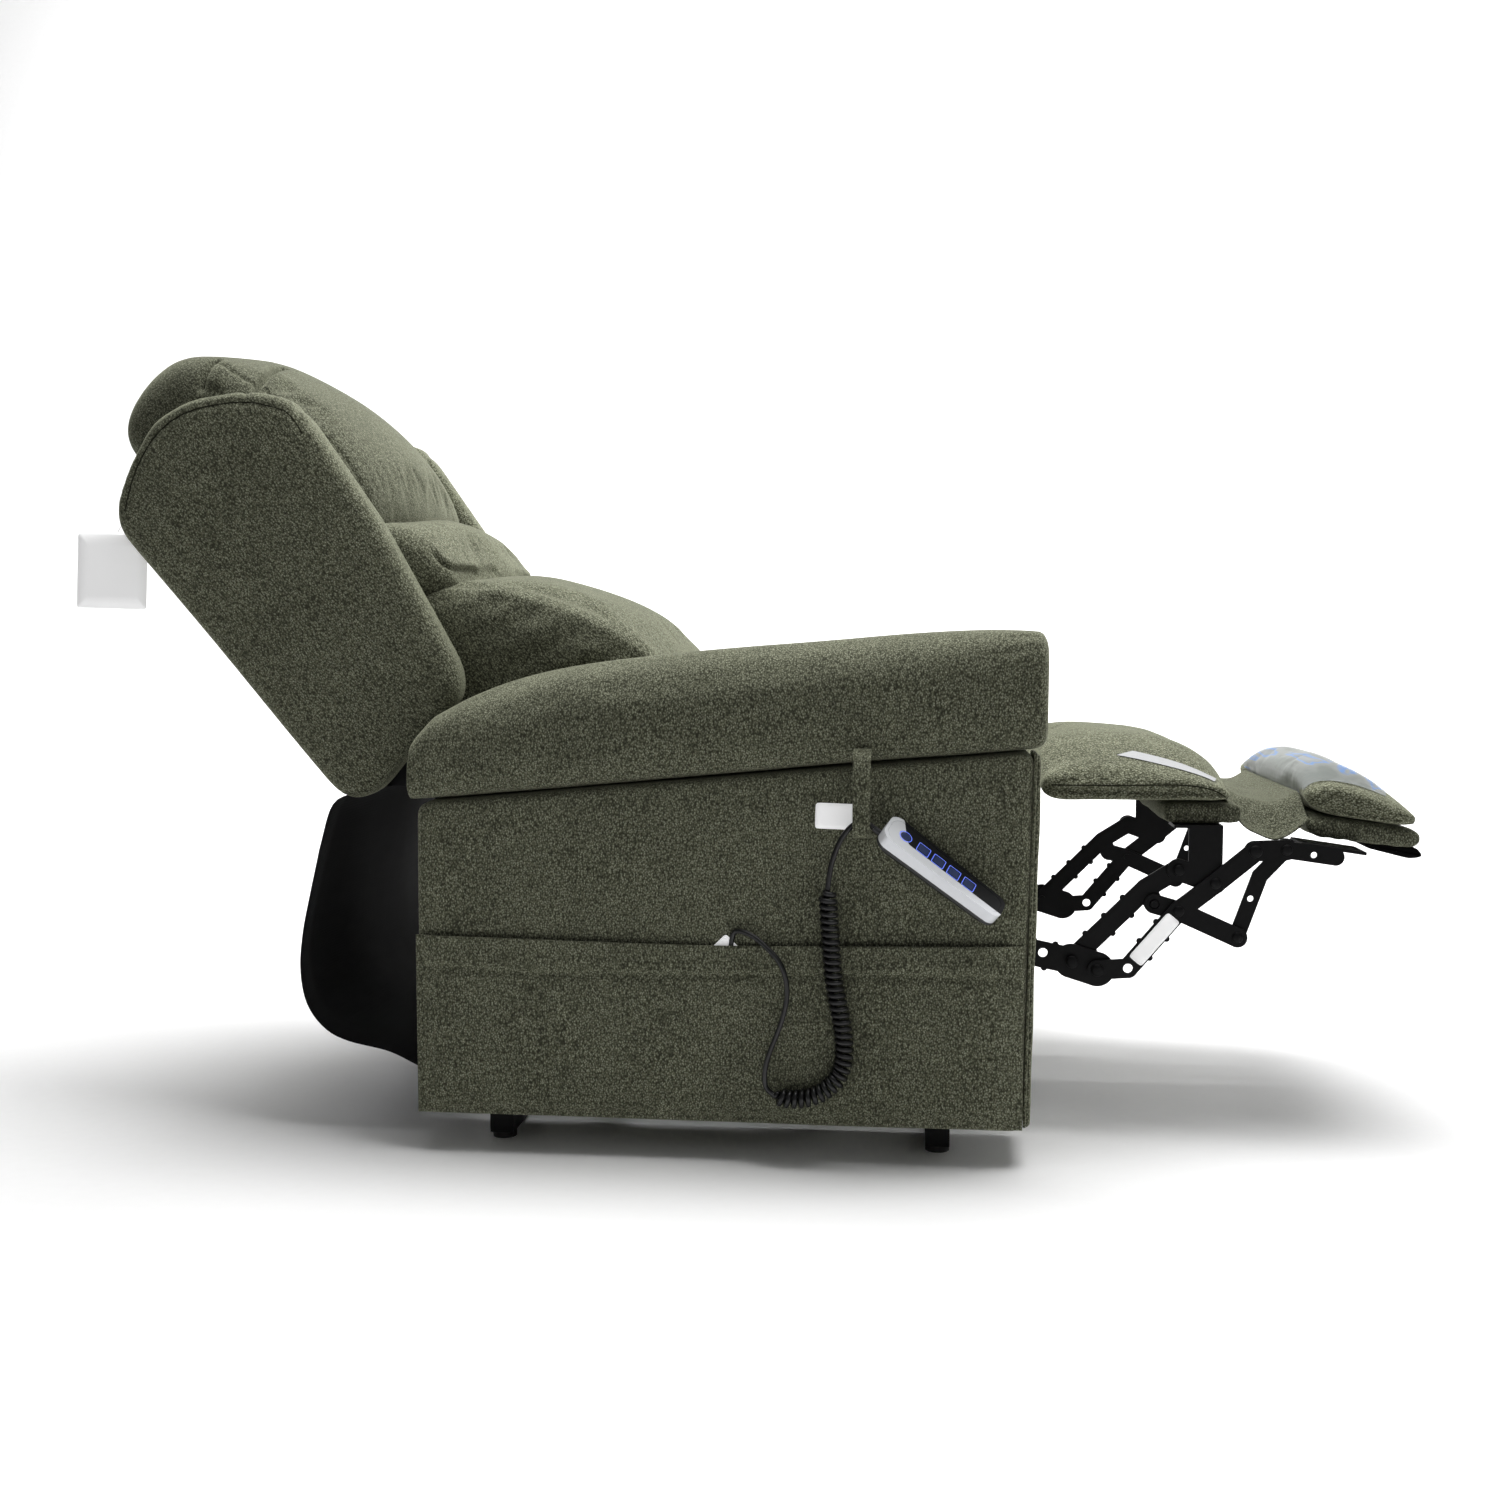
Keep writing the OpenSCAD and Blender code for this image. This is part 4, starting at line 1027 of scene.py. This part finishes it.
def makeFlap():
    f = flapShape
    line = curvePoints(f["line"], 70)
    columns = 80
    run = runAlong(line)
    grid = []
    for j, (x, z) in enumerate(line):
        t = j / (len(line) - 1)
        half = np.interp(run[j], *zip(*f["widths"]))
        slack = math.sin(math.pi * t)
        for i in range(columns + 1):
            s = -1 + 2 * i / columns
            fold = (2.6 * math.sin(4.1 * s + 2.3 * t) + 1.3 * math.sin(7.7 * s - 6.1 * t + 1)) * slack
            edge = 8 * slack * max(0, abs(s) - 0.8) / 0.2
            grid.append((x + fold + edge, s * half, z + 0.3 * fold))
    piece = makeObject("dustFlap", np.array(grid) / 1000, gridFaces(columns, len(line) - 1), flapCloth)
    return piece, pathLength(line) / 1000


flap, flapLength = makeFlap()
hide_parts("back_flap")
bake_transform(flap)
print("outside back and flap made")


boardLoop = roundLoop([(535, 403), (629, 403), (631, 410), (630, 428), (535, 428), (533, 420)], 4, 2)
legBoard = loftAcross("legBoardWrap", boardLoop, -236, 236, 5, material=tweedUnderShaded, stations=30)
evenMesh(legBoard, 4, 3)
for side in (-1, 1):
    sewSeam(legBoard, [(540, side * 236, 416), (585, side * 237, 418), (628, side * 236, 414)], 1.4, 5, pucker=0.5)
ripple(legBoard, 0.8, 90, 41)
finishPiece(legBoard, "leg_rest", "leg_board", fill=0.3)

footWrapShape = {"outline": [(712, 405), (724, 412), (800, 403), (850, 395), (857, 384), (848, 371), (800, 376), (738, 383),
                             (718, 388)], "half": 218, "tip": [(790, 380), (850, 373), (859, 361), (842, 358), (786, 372)]}
wrapLoop = roundLoop(footWrapShape["outline"], 5, 2)
footWrap = loftAcross("footBoardWrap", wrapLoop, -footWrapShape["half"], footWrapShape["half"], 9, material=tweedUnderShaded,
                      stations=26)
evenMesh(footWrap, 4, 3)
for side in (-1, 1):
    sewSeam(footWrap, [(720, side * 218, 397), (780, side * 219, 391), (840, side * 217, 383)],
            -1.6, 8, pucker=0.8, puckerEvery=23)
ripple(footWrap, 0.8, 80, 43)
footTip = loftAcross("footDustCover", roundLoop(footWrapShape["tip"], 4, 2), -212, 212, 4, material=flapCloth, stations=22)
finishPiece(footWrap, "foot_rest", "foot_board", fill=0.3)
finishPiece(footTip, "foot_rest", fill=0.2, slot="flap_cloth")

gussetShape = {"line": [(606, 460), (626, 440), (656, 425), (688, 425), (713, 437)], "half": 230, "thick": 1.6}


def makeGusset():
    # Loose cloth that joins the two pads
    g = gussetShape
    line = curvePoints(g["line"], 34)
    columns = 90
    grid = []
    for j, (x, z) in enumerate(line):
        t = j / (len(line) - 1)
        for i in range(columns + 1):
            s = -1 + 2 * i / columns
            edge = float(smoothStep((abs(s) - 0.7) / 0.3))
            sag = -(36 + 9 * math.sin(math.pi * t) - 8 * t) * edge
            fold = 1.7 * math.sin(14 * t + 2 * math.sin(5 * s)) * math.sin(math.pi * t)
            grid.append((x + 9 * (1 - t) * edge, s * g["half"], z + fold + sag))
    piece = makeObject("footGusset", np.array(grid) / 1000, gridFaces(columns, len(line) - 1), tweedUnderShaded)
    thicken(piece, g["thick"] / 1000)
    return piece, pathLength(line) / 1000


gusset, gussetLength = makeGusset()
finishPiece(gusset, "foot_rest")
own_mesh(gusset)
print("leg board and gusset made")


loopShape = {"x": 158, "width": 21, "thick": 2.0,
             "line": [(-386.6, 503), (-392, 504.5), (-402, 501), (-411, 492), (-416, 474), (-417.5, 450), (-417, 424),
                      (-413, 406), (-404, 401), (-394, 402), (-388, 408)]}


def makeLoop():
    # Flat strap that goes out, down and back to the panel
    line = curvePoints([(loopShape["x"], y, z) for y, z in loopShape["line"]], 60)
    across = np.array([1.0, 0, 0])
    grid = np.vstack([line + across * loopShape["width"] * s for s in (-0.5, -0.3, 0, 0.3, 0.5)]) / 1000
    piece = makeObject("handsetLoop", grid, gridFaces(len(line) - 1, 4), tweedSide)
    thicken(piece, loopShape["thick"] / 1000, 0)
    return piece


finishPiece(makeLoop(), "chassis", "handset_loop")


def card(name, centre, size, normal, up, bend, material, body, thick=0.6):
    # Small card or label, its corners rounded, gently bowed
    n = np.array(normal, float)
    n /= np.linalg.norm(n)
    u = np.array(up, float)
    u -= n * (u @ n)
    u /= np.linalg.norm(u)
    r = np.cross(u, n)
    w, h = size
    rings = []
    outline = roundLoop([(-w / 2, -h / 2), (w / 2, -h / 2), (w / 2, h / 2), (-w / 2, h / 2)], 2.5, 2)
    middle = np.array(centre)
    for k in (1.0, 0.66, 0.33):
        rings.append(np.array([middle + r * a * k + u * b * k + n * bend * (1 - (2 * b * k / h) ** 2) for a, b in outline]))
    count = len(outline)
    points = np.vstack(rings + [np.array([middle + n * bend])]) / 1000
    faces = [(q * count + i, q * count + (i + 1) % count, (q + 1) * count + (i + 1) % count, (q + 1) * count + i)
             for q in range(2) for i in range(count)]
    faces += [(2 * count + i, 2 * count + (i + 1) % count, 3 * count) for i in range(count)]
    piece = makeObject(name, points, faces, material)
    thicken(piece, thick / 1000)
    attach(piece, body)


card("swingTag", (-838, -262, 724), (92, 98), (0.1, -1, 0.05), (0.03, 0, 1), 0, tagCardPaintedGlow, "back")
stringLine = curvePoints([(-812, -262, 790), (-822, -263, 784), (-828, -264, 775)], 12) / 1000
tagString = tube("swingTagString", stringLine, 0.0007, tagCardPaintedGlow, 6)
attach(tagString, "back")
card("loopTag", (127, -388.2, 424), (50, 31), (0, -1, 0), (0.03, 0, 1), 0.4, tagCardPaintedGlow, "chassis")
card("pocketTag", (-6, -389.4, 262), (25, 25), (0, -1, 0), (0.7, 0, 0.7), 0.3, tagCardPaintedGlow, "chassis")
card("linkLabel", (522, -252.0, 257), (20, 74), (0, -1, 0), (0.64, 0, 0.77), 0, tagCardPaintedGlow, "long_link", 0.3)

# Paper slip: grey-white and dull
paperSlip, tree, shader = newMaterial("uncoatedPaper", "#abacad", 0.8)
rampColour(tree, shader, noiseTexture(tree, 500.0, 3.0).outputs["Fac"], [(0.3, "#a5a6a7"), (0.7, "#b0b1b2")])

# Polyethylene film: milky, see-through, with pale blue printed bars
filmSheet, tree, shader = newMaterial("printedPolyethyleneFilm", "#c8ccce", 0.42)
shader.inputs["Alpha"].default_value = 0.6
streaks = noiseTexture(tree, 1.0, 2.0, objectPoint(tree, 0, (26, 5, 60)))
rampColour(tree, shader, streaks.outputs["Fac"], [(0.42, "#7f8583"), (0.56, "#949897"), (0.6, "#5f92d8"), (0.64, "#8b9297"),
                                                  (0.8, "#a5a9ab")])
bumpSkin(tree, shader, noiseTexture(tree, 70.0, 3.0).outputs["Fac"], 0.4, 0.002)


def layOver(name, pad, quad, columns, rows, gap, material):
    # Thin slip laid on a pad: four corners seen from above, dropped onto its skin
    skin = skinOf(pad)
    a, b, c, d = (np.array(corner, float) for corner in quad)
    grid = []
    for j in range(rows + 1):
        for i in range(columns + 1):
            s, t = i / columns, j / rows
            x, y = (a * (1 - s) + b * s) * (1 - t) + (d * (1 - s) + c * s) * t
            hit = skin.ray_cast(Vector((x, y, 0.7)), Vector((0, 0, -1)))[0]
            grid.append((x, y, hit.z + gap if hit else 0.45))
    return makeObject(name, grid, gridFaces(columns, rows), material)


filmSpec = {"centre": (0.772, 0.424), "turns": (177, 16), "half": 0.198, "gap": 0.0016}


def wrapFilm(spec, pad, columns=40, rows=90):
    # Film laid round the pad from its rear slope to its front, its rear edge pinked
    skin = skinOf(pad)
    first, last = spec["turns"]
    grid = []
    for j in range(rows + 1):
        y = spec["half"] * (2 * j / rows - 1)
        start = first - 4 * (j % 2) - 3 * math.sin(j * 0.31) - 14 * abs(y / spec["half"]) ** 3
        for i in range(columns + 1):
            turn = math.radians(start + (last - start) * i / columns)
            way = Vector((math.cos(turn), 0, math.sin(turn)))
            centre = Vector((spec["centre"][0], y, spec["centre"][1]))
            hit = skin.ray_cast(centre + way * 0.3, -way)[0]
            grid.append((hit if hit else centre + way * 0.04) + way * spec["gap"])
    row = rows // 2 * (columns + 1)
    length = sum((grid[k + 1] - grid[k]).length for k in range(row, row + columns))
    return makeObject("footFilm", [tuple(p) for p in grid], gridFaces(columns, rows), filmSheet), length


film, filmLength = wrapFilm(filmSpec, footPad)
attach(film, "foot_rest")
print("sheets, m: flap", round(flapLength, 3), "gusset", round(gussetLength, 3), "film", round(filmLength, 3))
slipCorners = [(0.478, -0.200), (0.596, -0.226), (0.602, -0.208), (0.500, -0.184)]
padCard = layOver("padCard", legPad, slipCorners, 20, 8, 0.0012, paperSlip)
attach(padCard, "leg_rest")


def sewnLine(name, piece, path, side, body, radius=0.9):
    # Line of stitches on a pad's outer face, its thread lying in the cloth
    skin = skinOf(piece)
    spots = [(x / 1000, skin.ray_cast(Vector((x / 1000, side * 0.6, z / 1000)), Vector((0, -side, 0)))[0], z / 1000)
             for x, z in curvePoints(path, 60)]
    line = tube(name, [(x, at.y, z) for x, at, z in spots if at], radius / 1000, seamThread, 6)
    finishPiece(line, body)


seamThread = finePeel("spunPolyesterThread", "#23241b", 0.9, 1.0, 0.3, shine=0.05)
legSeam = [(392, 451), (467, 451), (551, 452), (588, 447), (608, 437), (618, 426)]
for side, tag, wing in ((-1, "Right", wingRight), (1, "Left", wingLeft)):
    sewnLine("wingSeam" + tag, wing, wingShape["seam"], side, "back")
    sewnLine("legPadSeam" + tag, legPad, legSeam, side, "leg_rest")

rivetSpots = {  # body: X, Z, outer face Y, head radius; mm
    "swing_bar": [(420, 226, 252, 8), (452, 216, 252, 8), (339, 425, 250, 9)],
    "leg_rest": [(551, 345, 250.6, 7), (596, 329, 251.6, 7)],
    "long_link": [(551, 293, 251.4, 7), (644, 370, 251.4, 8)],
    "cross_link": [(625, 260, 246.5, 7)],
    "foot_rest": [(683, 372, 246.5, 7)],
}


def rivetHead(name, x, z, y, radius, side, body):
    shape = bmesh.new()
    bmesh.ops.create_uvsphere(shape, u_segments=20, v_segments=10, radius=radius / 1000)
    for v in shape.verts:
        v.co = Vector((v.co.x, v.co.z * 0.3, v.co.y))
    mesh = bpy.data.meshes.new(name)
    shape.to_mesh(mesh)
    shape.free()
    mesh.materials.append(blackSteel)
    smoothFaces(mesh)
    piece = linkPiece(name, mesh)
    piece.location = (x / 1000, side * y / 1000, z / 1000)
    finishPiece(piece, body, slot="steel")


for body, spots in rivetSpots.items():
    for k, (x, z, y, radius) in enumerate(spots):
        for side, tag in ((-1, "R"), (1, "L")):
            rivetHead(f"rivet_{body}_{k}_{tag}", x, z, y, radius, side, body)


def handsetPoint(a, b, c):
    # The handset's own axes to the row frame; mm
    roll, dip = math.radians(handsetPlace["roll"]), math.radians(handsetPlace["dip"])
    xOrigin, yOrigin, zOrigin = handsetPlace["origin"]
    y, z = b * math.cos(roll) - c * math.sin(roll), b * math.sin(roll) + c * math.cos(roll)
    return (xOrigin + a * math.cos(dip) + z * math.sin(dip), yOrigin + y, zOrigin - a * math.sin(dip) + z * math.cos(dip))


def litOutline(name, at, size, squareShape):
    # Lit line round a button, laid into the face
    top = 12.6
    half = size / 2 + 1.6
    if squareShape:
        line = roundLoop([(-half, -half), (half, -half), (half, half), (-half, half)], 1.2, 2)
    else:
        line = np.array([(half * math.cos(t), half * math.sin(t)) for t in np.linspace(0, 2 * math.pi, 40, endpoint=False)])
    rings = [[handsetPoint(at + p[0] * k, p[1] * k, top) for p in line] for k in (0.94, 1.06)]
    points = np.array(rings[0] + rings[1]) / 1000
    n = len(line)
    faces = [(i, (i + 1) % n, n + (i + 1) % n, n + i) for i in range(n)]
    finishPiece(makeObject(name, points, faces, glow), "chassis", slot="button_plastic")


for k, (at, squareShape) in enumerate([(-58, False), (-32, True), (-10, True), (12, True), (34, True)]):
    litOutline(f"buttonLight_{k}", at, 13, squareShape)
print("small pieces made")
